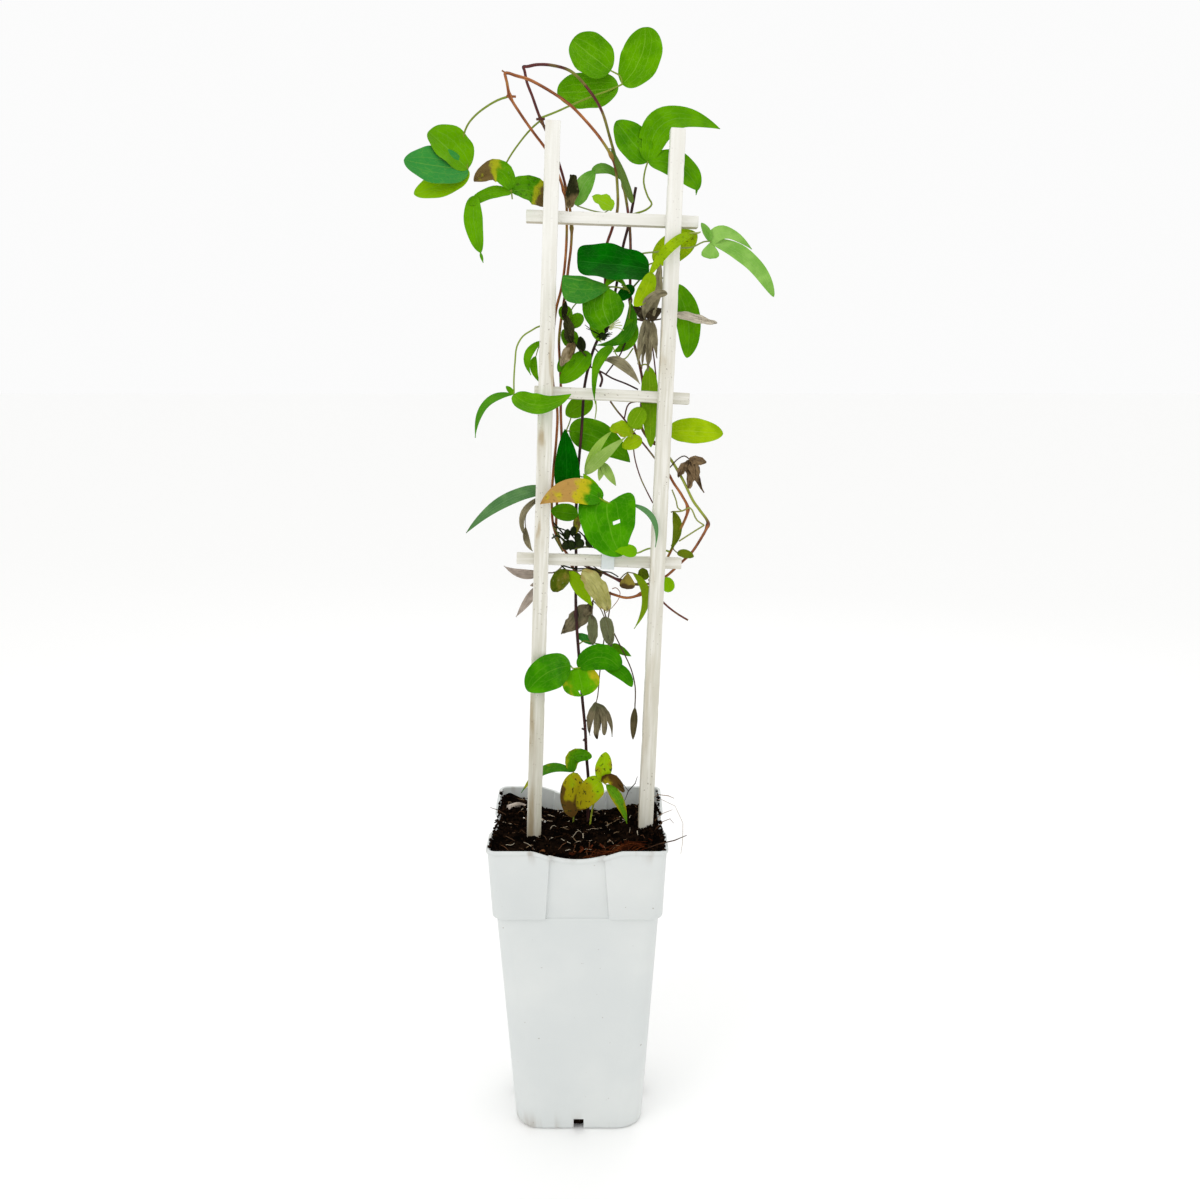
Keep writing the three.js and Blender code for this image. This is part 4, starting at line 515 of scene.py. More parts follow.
def painted_finish(name, along, stain):
    """Thin white paint over softwood, with painted shade on its undersides and painted light high up; along is
    the lath's own length in the row's axes.
    """
    paint = Finish(name, "#eeece5", 0.6)
    where = paint.where()
    height = paint.put("SeparateXYZ", {0: where})[2]
    normal_z_for_shade = paint.put("SeparateXYZ", {0: paint.put("NewGeometry", {})["Normal"]})[2]
    turn = Vector((0, 0, 1)).rotation_difference(along).to_euler()
    straight = paint.put("Mapping", {"Vector": where, "Rotation": turn}, vector_type="TEXTURE")[0]
    fibres = paint.grain(straight, 420, 5, stretch=(1, 1, 0.05))
    broad = paint.grain(straight, 90, 5, stretch=(1, 1, 0.12))
    worn = paint.times(paint.rise(broad, 0.56, 0.66), paint.rise(paint.grain(where, 22, 5), 0.47, 0.6))
    specks = paint.most(paint.rise(paint.grain(where, 520, 2), 0.67, 0.71),
                        paint.rise(paint.grain(where, 170, 3), 0.72, 0.75))
    specks = paint.times(specks, paint.rise(paint.grain(where, 34, 3), 0.4, 0.54))
    low = paint.times(paint.rise(height, 0.42, 0.25), paint.rise(broad, 0.42, 0.68))
    paint.colour = paint.blend(paint.rise(fibres, 0.35, 0.75), "#d3d0c2", "#ebe9e1")
    for colour, mask, strength in (
        ("#c3bca6", paint.rise(broad, 0.5, 0.68), 0.6),
        ("#a8936c", worn, 0.75),
        ("#6b5a48", specks, 0.65),
        # Whiter towards the top: painted light on the upper laths.
        ("#f6f5f0", paint.rise(height, 0.62, 0.76), 0.55),
        ("#8d6f4c", low, stain),
        ("#9d9a7c", paint.rise(height, 0.5, 0.3), 0.42 * stain),
        # Darker wood tones on faces that look down: painted shade on the laths' undersides.
        (paint.blend(fibres, "#7d6f4c", "#b9ad8c"), paint.rise(normal_z_for_shade, -0.6, -0.95), 0.75),
    ):
        paint.lay(colour, mask, strength)
    paint.close(paint.add(fibres, broad), 0.00035, 0.8)
    return paint


def planed_lath(name, wide, deep, start, end, stain, seed):
    """A lath between two points of the trellis, its edges eased and a little uneven."""
    start, end = Vector(start), Vector(end)
    way = end - start
    long = way.length
    upright = abs(way.z) > abs(way.x)
    angle = math.atan2(way.x, way.z) if upright else QUARTER - math.atan2(way.z, way.x)
    bpy.ops.mesh.primitive_cube_add(size=1)
    lath = bpy.context.object
    lath.name = name
    mesh = lath.data
    mesh.transform(Matrix.Diagonal((wide - LATH_GAP, deep - LATH_GAP, long - LATH_GAP, 1)))
    bpy.ops.object.mode_set(mode="EDIT")
    bpy.ops.mesh.select_all(action="SELECT")
    bpy.ops.mesh.bevel(offset=LATH_BEVEL, segments=3)
    bpy.ops.object.mode_set(mode="OBJECT")
    bm = bmesh.new()
    bm.from_mesh(mesh)
    long_edges = [edge for edge in bm.edges if abs(edge.verts[0].co.z - edge.verts[1].co.z) > long / 2]
    bmesh.ops.subdivide_edges(bm, edges=long_edges, cuts=int(long / LATH_STEP), use_grid_fill=True)
    for vert in bm.verts:
        x, y, z = vert.co
        corner = min(1, max(0, (abs(x) / (wide / 2) + abs(y) / (deep / 2)) - 1.6) / 0.4)
        worn = 0.30 * noise.noise(Vector((x, y, z * 0.35 + 57 * seed)) * 0.35)
        chip = max(0, noise.noise(vert.co * 0.16 + Vector((31 * seed, 0, 0))) - 0.25) * 1.6 * corner
        vert.co.x -= math.copysign(min(CHIP_DEEPEST, chip) + 0.1 + worn * 0.3, x)
        vert.co.y -= math.copysign(min(CHIP_DEEPEST, chip) + 0.1 + worn * 0.3, y)
    bm.to_mesh(mesh)
    bm.free()
    mesh.transform(TRELLIS @ Matrix.Translation((start + end) / 2) @ Matrix.Rotation(angle, 4, "Y"))
    smooth_edges(lath, degrees=40)
    along = (TRELLIS.to_3x3() @ way).normalized()
    mesh.materials.clear()
    mesh.materials.append(painted_finish(name + "_paint", along, stain).material)
    bpy.ops.object.select_all(action="DESELECT")
    enter(lath, name)


for name, foot, top, stain, seed in (
    ("stile_left", -47.3, -51.3, 0.95, 1),
    ("stile_right", 46.5, 46.7, 0.4, 2),
):
    start, end = [(foot + (top - foot) * z / STILE_HIGH, 0, z) for z in (-STILE_IN_SOIL, STILE_HIGH)]
    planed_lath(name, STILE_WIDE, STILE_DEEP, start, end, stain, seed)
for name, z, left, right, tilt, seed in (
    ("rung_top", 502.5, -70, 67.6, -1.1, 3),
    ("rung_middle", 364.5, -59, 67.4, 0.2, 4),
    ("rung_low", 229.4, -69, 67.4, -0.1, 5),
):
    tilt = math.radians(tilt)
    half = (right - left) / 2 * Vector((math.cos(tilt), 0, -math.sin(tilt)))
    centre = Vector(((left + right) / 2, RUNG_Y, z))
    planed_lath(name, RUNG_HIGH, RUNG_DEEP, centre - half, centre + half, RUNG_STAIN, seed)

# ------------------------------------------------------------------ rung clip
# A small bent strip of milky plastic, pushed over the low rung to hold a stem there.

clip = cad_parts["rung_clip"]
milky = Finish("milky_plastic", "#dde2e4", 0.3)
milky.set("Coat Weight", 0.4)
cloud = milky.grain(milky.where(), 160, 3)
milky.colour = milky.blend(cloud, "#cdd4d7", "#e6eaea")
milky.close(cloud, 0.0003, 0.5)
clip.data.materials.clear()
clip.data.materials.append(milky.material)

# ------------------------------------------------------------------ stems
# Three woody stems climb from the soil or hang over the top. The oldest is thin and
# blackish; the two that arch over are red-brown, with swollen joints where leaves once sat.

STALK = (0.5, 0, 0.5, 0)    # tint, age, kind and spots, as every point of the plant keeps them
JOINT_LONG, JOINT_PROUD, KNOBBLE = 2.6, 0.32, 0.06


def smooth_route(points, per=4):
    """A smooth curve through all the points, divided evenly between each two."""
    points = [Vector(point) for point in points]
    ends = [points[0] * 2 - points[1], *points, points[-1] * 2 - points[-2]]
    route = []
    for a, b, c, d in zip(ends, ends[1:], ends[2:], ends[3:]):
        tb = math.sqrt(max((b - a).length, 1e-4))
        tc = tb + math.sqrt(max((c - b).length, 1e-4))
        td = tc + math.sqrt(max((d - c).length, 1e-4))
        for k in range(per):
            t = tb + (tc - tb) * k / per
            ab = a * ((tb - t) / tb) + b * (t / tb)
            bc = b * ((tc - t) / (tc - tb)) + c * ((t - tb) / (tc - tb))
            cd = c * ((td - t) / (td - tc)) + d * ((t - tc) / (td - tc))
            abc = ab * ((tc - t) / tc) + bc * (t / tc)
            bcd = bc * ((td - t) / (td - tb)) + cd * ((t - tb) / (td - tb))
            route.append(abc * ((tc - t) / (tc - tb)) + bcd * ((t - tb) / (tc - tb)))
    return [*route, points[-1]]


def along_in(stretches, number):
    """How far a point lies inside stretches of a stem, 0 to 1, easing in and out."""
    shares = [min(1, max(0, (number - low) * 1.5), max(0, (high - number) * 1.5)) for low, high in stretches]
    return max(shares, default=0)


def around(side, other, n, sides):
    """The way outwards to the nth of so many sides."""
    angle = 2 * math.pi * n / sides
    return side * math.cos(angle) + other * math.sin(angle)


def add_stem(bm, thick, points, look=STALK, sides=8, per=4, ends=(1, 1), swell=(), young=(), sunned=()):
    """A round stem with closed ends. By point numbers, swell lists its thicker joints, young the
    stretches that are still green and sunned those in the bark's second colour."""
    leaf, uv = bm.verts.layers.float_color["leaf"], bm.loops.layers.uv["leaf_map"]
    route = smooth_route(points, per)
    last = len(route) - 1
    side = (route[1] - route[0]).orthogonal().normalized()
    lengths = [0]
    for low, high in zip(route, route[1:]):
        lengths.append(lengths[-1] + (high - low).length)
    joints = [mix(lengths[int(n * per)], lengths[min(int(n * per) + 1, last)], n * per % 1) for n in swell]
    rows = []
    for k, spot in enumerate(route):
        along = (route[min(k + 1, last)] - route[max(k - 1, 0)]).normalized()
        side = (side - along * side.dot(along)).normalized()
        other = along.cross(side)
        radius = thick / 2 * mix(*ends, k / last) * (1 + KNOBBLE * noise.noise(spot * 0.35))
        for joint in joints:
            radius += JOINT_PROUD * thick * math.exp(-(((lengths[k] - joint) / JOINT_LONG) ** 2))
        green, second = along_in(young, k / per), along_in(sunned, k / per)
        rows.append([bm.verts.new(spot + around(side, other, n, sides) * radius) for n in range(sides)])
        for vert in rows[-1]:
            vert[leaf] = (mix(look[0], 1, second), max(look[1], green), *look[2:])
    for number, face in enumerate(skin(bm, rows)):
        row, n = divmod(number, sides)
        start, end = lengths[row:row + 2]
        for loop, spot in zip(face.loops, ((n, start), (n + 1, start), (n + 1, end), (n, end))):
            loop[uv].uv = (spot[0] / sides, spot[1] / 20)


def add_stems(bm, rows, **usual):
    """Stems from a table: how thick, the points on the way, and what is special about one."""
    for thick, *points in rows:
        own = points.pop() if isinstance(points[-1], dict) else {}
        add_stem(bm, thick, points, **{**usual, **own})


def new_growth():
    """An empty mesh that keeps, at each point, its tint, age, kind and spots."""
    bm = bmesh.new()
    bm.verts.layers.float_color.new("leaf")
    bm.loops.layers.uv.new("leaf_map")
    return bm


def placed(name, bm, finish):
    """Stands a grown piece on the trellis, gives it its finish and enters it for its node."""
    bmesh.ops.transform(bm, matrix=TRELLIS, verts=bm.verts)
    enter(finished(name, bm, finish, degrees=50), name)


def woody(name, finish, stems):
    """A piece that is bare stems alone: the long stem, its side twigs and its stubs."""
    bm = new_growth()
    add_stems(bm, stems)
    placed(name, bm, finish)


def bark_finish(name, deep, warm, green, other, rough=0.5):
    """Thin ribbed bark, green where it is young and in a second colour where the sun reaches it."""
    bark = Finish(name, warm, rough, specular=0.25)
    own = bark.put("SeparateColor", {0: bark.attribute("leaf")[0]})
    ribs = bark.grain(bark.put("UVMap", {}, uv_map="leaf_map")[0], 9, 4, stretch=(1, 0.12, 1))
    bark.colour = bark.blend(bark.rise(ribs, 0.38, 0.66), deep, warm)
    bark.lay(bark.blend(bark.rise(ribs, 0.3, 0.7), deep, other), bark.rise(own[0], 0.5, 1))
    bark.lay(green, bark.rise(bark.grain(bark.where(), 38, 5), 0.5, 0.68), 0.6)
    bark.lay(green, own[1])
    bark.close(ribs, 0.0006, 0.8)
    return bark


OLD_BARK = bark_finish("old_bark", "#1c0d0d", "#4c2220", "#2e1a14", "#4c2220", 0.6)
TAN_BARK = bark_finish("tan_bark", "#6a331c", "#b8743c", "#8f9a3a", "#5c2620")
RED_BARK = bark_finish("red_bark", "#381618", "#723630", "#8f9a3a", "#b06c3a")
GREEN_BARK = bark_finish("green_bark", "#77833a", "#a9ad5c", "#8f8a48", "#b06c3a")

woody("stem_main", OLD_BARK, [
    (2.3, (-9.5, 16, 407.5), (-7, 16, 412), (-0.5, 16, 420), (3, 16, 441), (6.5, 18.5, 465), (9, 21, 483.5),
     (12.5, 25, 498.5), (15, 26, 511.5), (17.5, 21, 531)),
    (1.4, (-15, 18, 387.5), (-4.5, 15, 383), (4, 14.5, 378.5), (16, 15.5, 374.5), (26, 17.5, 370.5)),
    (1.2, (-1, 15, 381.5), (3.5, 13.5, 388), (9.5, 12.5, 397), (13.5, 13, 407)),
    (2, (-7, 15.5, 384), (-4, 14.5, 377.5), (-5.5, 14, 371)),
    (2.7, (0.5, 27, -9.5), (-0.5, 27, 9.5), (-1, 26.5, 22), (-1.5, 26, 39), (-4, 24, 60.5), (-6, 22, 83),
     (-10, 20, 113), (-14, 19, 147.5), (-16.5, 18.5, 169.5), (-18.5, 18, 195), (-19, 18, 216), (-20, 18, 241),
     (-21, 18, 271.5), (-21, 18, 294), (-20, 18, 315.5), (-19, 18, 335), (-18.5, 18, 359.5), (-18, 18, 370.5),
     (-15, 18, 388.5), (-11.5, 17, 402), (-8.5, 16, 409.5),
     {"per": 16, "swell": (4, 8.5, 13, 18), "ends": (1, 0.85)}),
    (1.7, (-6, 22, 83), (-9, 21, 84.5)),
    (1.7, (-5, 22.5, 76), (-7.5, 22, 73.5)),
    (1.5, (-7, 21.5, 90), (-5, 22, 91.5)),
])
woody("stem_over_left", TAN_BARK, [
    (1.6, (42, 17.5, 214.5), (45, 16, 208), (49, 11.5, 203), (54.5, 8.5, 196), (64.5, 4, 188.5), (74.5, 2, 183),
     {"look": (1, 0, 0.5, 0)}),
    (2.3, (-7, 18, 413), (-5, 19, 426.5), (-4, 19, 441), (-4.5, 19, 460.5), (-5, 19, 481), (-0.5, 18.5, 497),
     (3, 18.5, 510.5), (2.5, 17, 527), (-1.5, 14, 547.5), (-12, 9, 562), (-25.5, 3, 574.5), (-38.5, -3, 584),
     (-50.5, -9, 589.5), (-62.5, -14, 594), (-71.5, -18, 596.5), (-81.5, -22, 597.5), (-86.5, -24.5, 598),
     (-89, -25, 597.5), (-88.5, -24.5, 595), (-87.5, -23, 592), (-85, -18, 583.5), (-77, -11, 573.5),
     (-66.5, -2.5, 562.5), (-56.5, 8, 553.5), (-50, 12.5, 544.5), (-43, 15.5, 530.5), (-38.5, 17.5, 517),
     (-37, 18, 495.5), (-37, 18, 478.5), (-38, 17, 461), (-40, 16, 446.5), (-43.5, 14.5, 430.5),
     (-45, 14.5, 410.5), (-45.5, 15.5, 391), (-43.5, 18, 371), (-39.5, 18, 350.5), (-39.5, 17.5, 326.5),
     (-41, 17, 302), (-41.5, 17, 277.5), (-39.5, 17.5, 257), (-33.5, 18.5, 242), (-26, 22, 231.5),
     (-20, 22.5, 219), (-8.5, 19.5, 210), (1.5, 17, 205), (14, 16, 200.5), (24.5, 15.5, 198.5), (35.5, 15.5, 202),
     (44, 16, 210), (51, 17.5, 221), (59, 17, 238), (65, 8, 257), (70, 4, 275), (65, 6, 285.5), (58, 9, 295.5),
     (52.5, 12, 304.5), (45, 15, 312),
     {"per": 12, "swell": (2, 8.3, 20, 25.5, 33, 41.5, 47, 52), "sunned": ((-1, 8.5),)}),
    (1.9, (-87.5, -19, 583), (-80.5, -17.5, 583.5)),
    (1.2, (-91.5, -25, 599.5), (-88.5, -24.5, 598)),
    (0.8, (7, 17, 185), (12, 17, 189.5), (17.5, 16, 198), (18, 15.5, 203), (14.5, 16, 206.5), (11.5, 16.5, 205.5),
     {"ends": (0.6, 1)}),
])
woody("stem_over_right", RED_BARK, [
    (1.5, (3.5, 16.5, 360), (9.5, 17, 352.5), (15.5, 16.5, 346), (23.5, 16.5, 336), (33.5, 14, 325),
     (43.5, 11.5, 313)),
    (1.3, (29, 20, 361.5), (19, 18, 358.5), (15.5, 16.5, 346)),
    (1.2, (17.5, 17, 427.5), (25, 17, 426), (32.5, 17, 424), (35.5, 17, 409), (39, 17.5, 390), (40.5, 18, 375),
     (36.5, 19, 364), (30, 20, 360)),
    (1.1, (23.5, 16.5, 336), (25, 15, 317), (30.5, 13, 299.5), (36.5, 11, 287.5), (41.5, 9, 278.5)),
    (2.3, (-16.5, 21, 226.5), (-7.5, 20, 222), (1.5, 18, 219.5), (18, 18.5, 212.5), (33, 19.5, 209.5),
     (43.5, 20.5, 210.5), (56, 20.5, 216.5), (68.5, 18.5, 229), (76, 13, 238), (81.5, 5, 249.5), (85.5, -1, 260),
     (86.5, -1, 264.5), (79.5, 1, 274.5), (74, 2, 281.5), (65, 6, 298.5), (55, 11, 314.5), (46, 16, 324.5),
     (36, 19, 331.5), (30, 20, 342), (29.5, 20, 358), (30.5, 19.5, 371), (27, 18, 388.5), (18.5, 17, 417),
     (16.5, 17, 441.5), (15.5, 18, 465.5), (15, 19, 484.5), (14, 20.5, 498), (12, 21, 511), (7.5, 20.5, 531),
     (2, 19, 546.5), (-5, 14, 564.5), (-13.5, 7, 584.5), (-26, -1, 598.5), (-39, -6, 608), (-53.5, -9, 610.5),
     (-65, -10, 610), (-72.5, -10.5, 608), (-75.5, -10.5, 607.5), (-74.5, -10, 605), (-72.5, -8, 597.5),
     (-68, -4, 588.5), (-62, 1, 575.5), (-54, 10.5, 563), (-47.5, 17.5, 551), (-41, 20.5, 534.5),
     (-35.5, 22, 514.5), (-33, 21.5, 496.5), (-33, 21.5, 481), (-34.5, 21, 465), (-36, 20, 447.5),
     (-38.5, 19, 427.5), (-40, 19.5, 407.5), (-38.5, 20.5, 387.5), (-37, 21.5, 367.5), (-36.5, 22, 350.5),
     (-35, 21.5, 326), (-35.5, 21, 302.5), (-37, 21, 273.5), (-37, 22, 252.5), {"per": 12,
     "swell": (3, 10.6, 16.5, 23, 28, 41.2, 46, 52), "young": ((11, 15.5),), "sunned": ((4, 10.8), (44, 60))}),
    (2, (-64, -1, 572.5), (-58, 2.5, 574)),
])

# ------------------------------------------------------------------ leaves
# Each leaf is three leaflets on a long thin stalk that twists round the stem or a lath.
# The blades are smooth-edged, with three to five veins that run from base to tip.

# A form is how fast a blade widens at its base and narrows to its tip, and how far its lobes reach back.
OVAL, ROUND, OVATE = (0.5, 0.6, 0), (0.45, 0.45, 0), (0.45, 0.85, 0)
LANCE, HEART, FAN, SQUARE = (0.75, 1.1, 0), (0.3, 0.7, 0.4), (1.2, 0.35, 0), (0.3, 0.22, 0)
SWEPT, BROAD, LATE, TAILED = (0.25, 0.8, 0), (0.4, 0.3, 0), (0.6, 0.35, 0), (0.6, 1.3, 0)
# Blades are thin, thinner still at the rim, with a row and a column of points every few millimetres.
BLADE_THICK, THIN_RIM, ROW_STEP, COLUMN_STEP, THINNEST = 0.45, 0.55, 1.8, 3.4, 0.35
UNEVEN, RIPPLE_RATE, LIE_UNEVEN = 0.035, 14, 0.25
# Where the side veins run, as shares of the half blade, and how strong they show.
VEINS = ((0.365, 0), (0.39, 0.6), (0.415, 0), (0.70, 0), (0.72, 0.3), (0.74, 0))


def leaf_finish(name, codes, rough=0.45, raised=0.45, veins=0.44, cool="#35954a", fresh="#8cbc02"):
    """Leaf skin: two greens, paler veins and back, yellow and brown where it ages, dark spots.
    A tint below 0 turns it blue-green, one above 1 yellow-green."""
    deep, light, vein, back, old, dead, stalk = codes.split()
    leafy = Finish(name, light, rough, specular=0.26)
    leafy.set("Specular Tint", shade(light))
    where, (own, spots) = leafy.where(), leafy.attribute("leaf")
    tint, age, kind = leafy.put("SeparateColor", {0: own})
    flat = leafy.put("UVMap", {}, uv_map="leaf_map")[0]
    across, up, _ = leafy.put("SeparateXYZ", {0: flat})
    cloud = leafy.grain(where, 70, 5)
    sway = leafy.times(leafy.combine("SUBTRACT", leafy.grain(where, 60, 2), 0.5), 0.16)
    aside = leafy.combine("ABSOLUTE", leafy.add(across, sway), 0)
    lines = leafy.put("ValToRGB", {0: aside})[0]
    stops = lines.node.color_ramp.elements
    stops[0].color, stops[1].color, stops[1].position = (1, 1, 1, 1), (0, 0, 0, 1), 0.035
    for spot, value in VEINS:
        stops.new(spot).color = (value, value, value, 1)
    slant = leafy.put("CombineXYZ", {0: leafy.times(across, 2.2),
                                    1: leafy.combine("SUBTRACT", up, leafy.times(aside, 0.5))})[0]
    net = leafy.put("TexVoronoi", {"Vector": slant, "Scale": 2.6}, feature="DISTANCE_TO_EDGE")[0]
    vein_mask = leafy.most(lines, leafy.times(leafy.rise(net, 0.05, 0.0), 0.45))
    greener = leafy.add(leafy.times(leafy.rise(cloud, 0.35, 0.68), 0.55), leafy.times(tint, 0.5))
    drift = leafy.add(age, leafy.times(leafy.combine("SUBTRACT", cloud, 0.5), 1.9))
    drift = leafy.times(drift, leafy.rise(age, 0.0, 0.04))
    leafy.colour = leafy.blend(greener, deep, light)
    leafy.lay(cool, leafy.rise(tint, 0.0, -0.9))
    leafy.lay(fresh, leafy.rise(tint, 1.0, 2.2))
    leafy.lay(vein, vein_mask, veins)
    leafy.lay(back, leafy.rise(kind, 0.7, 0.95))
    leafy.lay(old, leafy.rise(drift, 0.12, 0.5))
    leafy.lay(dead, leafy.rise(drift, 0.62, 0.85))
    # Where the relief is strong, darker streaks run along the blade: painted shade in its creases.
    if raised > 0.8:
        leafy.lay(deep, leafy.rise(leafy.grain(flat, 5, 5, stretch=(1, 0.2, 1)), 0.5, 0.68), 0.7)
    leafy.lay("#2c2a16", leafy.times(leafy.rise(leafy.grain(where, 380, 3), 0.60, 0.66), spots))
    leafy.lay(stalk, leafy.times(leafy.rise(kind, 0.2, 0.45), leafy.rise(kind, 0.75, 0.55)))
    height = leafy.add(leafy.times(vein_mask, -1.0), leafy.times(leafy.grain(where, 650, 4), 0.5))
    leafy.close(height, 0.0005, raised)
    return leafy


def blade_width(grow, fall, t):
    """A blade's width from base to tip, 1 at its widest."""
    peak = (grow / (grow + fall)) ** grow * (fall / (grow + fall)) ** fall
    return t ** grow * (1 - t) ** fall / peak


def add_blade(bm, form, wide, fold, points, face=(0, -1, 0.2), twist=0, wave=0, lean=0,
              tint=None, age=(0, 0), edge=0, spots=0, crease=0, holes=()):
    """One leaflet from base to tip, past a middle point where it bends. fold lifts both halves off
    the midrib, twist turns it along its length, lean widens one half, wave ripples its edges and
    crease crumples it; age runs from base to tip, 0 green, 1 brown, and edge browns its rim."""
    leaf, uv = bm.verts.layers.float_color["leaf"], bm.loops.layers.uv["leaf_map"]
    start, end = Vector(points[0]), Vector(points[-1])
    centre = (start + end) / 2
    pull = Vector(points[1]) * 2 - centre if len(points) > 2 else centre
    long = (end - start).length
    rows = max(8, min(30, int(long / ROW_STEP)))
    halves = max(3, min(8, int(wide / COLUMN_STEP)))
    lift = math.radians(fold)
    own = Vector((sum(points[0]) * 0.37, sum(points[-1]) * 0.21, wide))
    tint = 0.5 + 0.5 * noise.noise(own) if tint is None else tint
    tops, lows, places, gone = {}, {}, {}, set()
    for row in range(rows + 1):
        t = (1 - math.cos(math.pi * row / rows)) / 2
        middle = start * (1 - t) ** 2 + pull * (2 * t * (1 - t)) + end * t * t
        along = ((pull - start) * (1 - t) + (end - pull) * t).normalized()
        right = along.cross(Vector(face)).normalized()
        up = right.cross(along)
        turn = Matrix.Rotation(math.radians(twist) * (t - 0.3), 3, along)
        right, up = turn @ right, turn @ up
        share = blade_width(form[0], form[1], t)
        ripples = wave + UNEVEN * wide * share
        for k in range(-halves, halves + 1):
            s = math.copysign(abs(k / halves) ** 0.9, k)
            uneven = 1 + UNEVEN * noise.noise(own + Vector((s * 0.8, t * 5, 0)))
            half = max(THINNEST, wide / 2 * share * uneven * (1 + lean * ((k > 0) - (k < 0))))
            rest = LIE_UNEVEN * noise.noise(own * 3 + Vector((s * 1.3, t * 3.4, 1))) * min(1, wide / 12)
            ripple = abs(s) ** 2 * ripples * math.sin(RIPPLE_RATE * t + 1.3 * math.copysign(1, s) + own.x)
            back = abs(s) ** 1.4 * form[2] * wide * share * (1 - t) ** 3
            point = middle + right * (s * half * math.cos(lift)) - along * back
            point += up * (half * math.sin(lift) * abs(s) ** 1.35 + ripple + rest * 2)
            if crease:
                bend = Vector((s * 2.1, t * 4.5, 0)) + own
                point += up * (crease * noise.noise(bend)) + right * (crease * 0.7 * noise.noise(bend * 1.7))
                point += along * (crease * 0.4 * noise.noise(bend * 2.3))
            for at_t, at_s, deep_t, deep_s in holes:
                if math.hypot((t - at_t) / deep_t, (s - at_s) / deep_s) < 1:
                    gone.add((row, k))
            rim = THIN_RIM if abs(k) == halves else 1
            old = max(0, min(1, mix(*age, t) + edge * abs(s) ** 3))
            tops[row, k], lows[row, k] = bm.verts.new(point), bm.verts.new(point - up * BLADE_THICK * rim)
            tops[row, k][leaf], lows[row, k][leaf] = (tint, old, 0, spots), (tint, old, 1, spots)
            places[row, k] = (s, t * long / 12)
    cells = {}
    for row in range(rows):
        for k in range(-halves, halves):
            corners = [(row, k), (row, k + 1), (row + 1, k + 1), (row + 1, k)]
            if sum(corner in gone for corner in corners) < 3:
                cells[row, k] = corners
    for (row, k), corners in cells.items():
        for verts, around_cell in ((tops, corners), (lows, corners[::-1])):
            face = bm.faces.new([verts[corner] for corner in around_cell])
            face.smooth = True
            for loop, corner in zip(face.loops, around_cell):
                loop[uv].uv = places[corner]
        beside = ((row - 1, k), (row, k + 1), (row + 1, k), (row, k - 1))
        for cell, first, second in zip(beside, corners, corners[1:] + corners[:1]):
            if cell not in cells:
                strip = bm.faces.new((tops[second], tops[first], lows[first], lows[second]))
                for loop in strip.loops:
                    loop[uv].uv = (0.9, 0.1)
    loose = [vert for vert in (*tops.values(), *lows.values()) if not vert.link_faces]
    bmesh.ops.delete(bm, geom=loose, context="VERTS")


def shoot(name, slot, stalks, leaflets):
    """One leafy shoot. A stalk is given by its thickness and points; a leaflet by its form, width
    and fold, then its base, the middle where it bends, its tip, and what is special about it.
    Where a leaflet's base is a number, it sits at the end of that stalk."""
    bm = new_growth()
    add_stems(bm, stalks, sides=6, per=3, ends=(1.05, 0.85))
    for form, wide, fold, *points in leaflets:
        own = points.pop() if isinstance(points[-1], dict) else {}
        if isinstance(points[0], int):
            points[0] = stalks[points[0]][-1]
        add_blade(bm, form, wide, fold, points, **own)
    placed(name, bm, GREENS[slot])


GREENS = {}
DRY = (0.9, 0.3, "#6d7350", "#d9d0be")
for slot, rough, codes, *more in (
    # slot, roughness,     deep    light   vein    back    old     dead    stalk; relief, veins, other tints
    ("leaf_bright", 0.3, "#267202 #4f9e04 #8cc63c #6fa22c #bdb020 #b58c4c #86a02c", 0.45, 0.34, "#5f8a5c"),
    ("leaf_light", 0.34, "#417f01 #64a402 #9ccb44 #7cae38 #b8b41c #8f6a3c #84983a"),
    ("leaf_mid", 0.36, "#2f7002 #5c9c02 #88bb48 #6b9c38 #a8ac20 #6e5a34 #7c8c34"),
    ("leaf_dark", 0.3, "#013f01 #046a01 #2c8a24 #4c8c38 #94a431 #55492a #66783a"),
    ("leaf_blue", 0.4, "#3d6a3a #6a9458 #93b78a #82a880 #9fac58 #665b3a #75854b"),
    ("leaf_grey", 0.42, "#569628 #92c25c #aed084 #98bc70 #b9b250 #776846 #889650", 0.45, 0.44, "#546a2a"),
    ("leaf_pale", 0.46, "#6f9434 #a0bf62 #c4d896 #aac684 #c8c06a #8b7c56 #93a360"),
    ("leaf_lime", 0.38, "#7aa002 #a4c40c #c4d84c #a8c03c #9c9212 #5a3f1c #94a034", 0.45, 0.44, "#4c8c14"),
    ("leaf_olive", 0.5, "#435608 #6d7f14 #98a048 #7c864a #93843a #4f3e28 #6c6a34"),
    ("dried_grey", 0.8, "#574f38 #b3aa88 #cbc4ae #b0a688 #857b60 #453c2d #6b5f4b", *DRY),
    ("dried_pink", 0.8, "#94867a #cfc2b5 #ddd2c6 #c8baae #a8947f #6b594a #877464", *DRY),
    ("dried_brown", 0.85, "#44341f #9d8462 #a8937c #93806a #6b5340 #33271d #54412f", *DRY),
    ("dried_dark", 0.8, "#1c1e10 #4c4d2c #65643f #565638 #7d6c48 #b0a080 #46432a", 0.9, 0.3, "#3c5222"),
    ("dried_beige", 0.75, "#8f8d46 #d2cd88 #d8d4a0 #b8b278 #a79656 #705b33 #868048", 0.9, 0.35),
):
    GREENS[slot] = leaf_finish(slot + "_skin", codes, rough, *more)

# ------------------------------------------------------------------ top leaves
# The leaves above the upper rung, on long thin stalks from the two arching stems.
# The highest is the freshest; the one at the left is yellowing and brown at its tips.

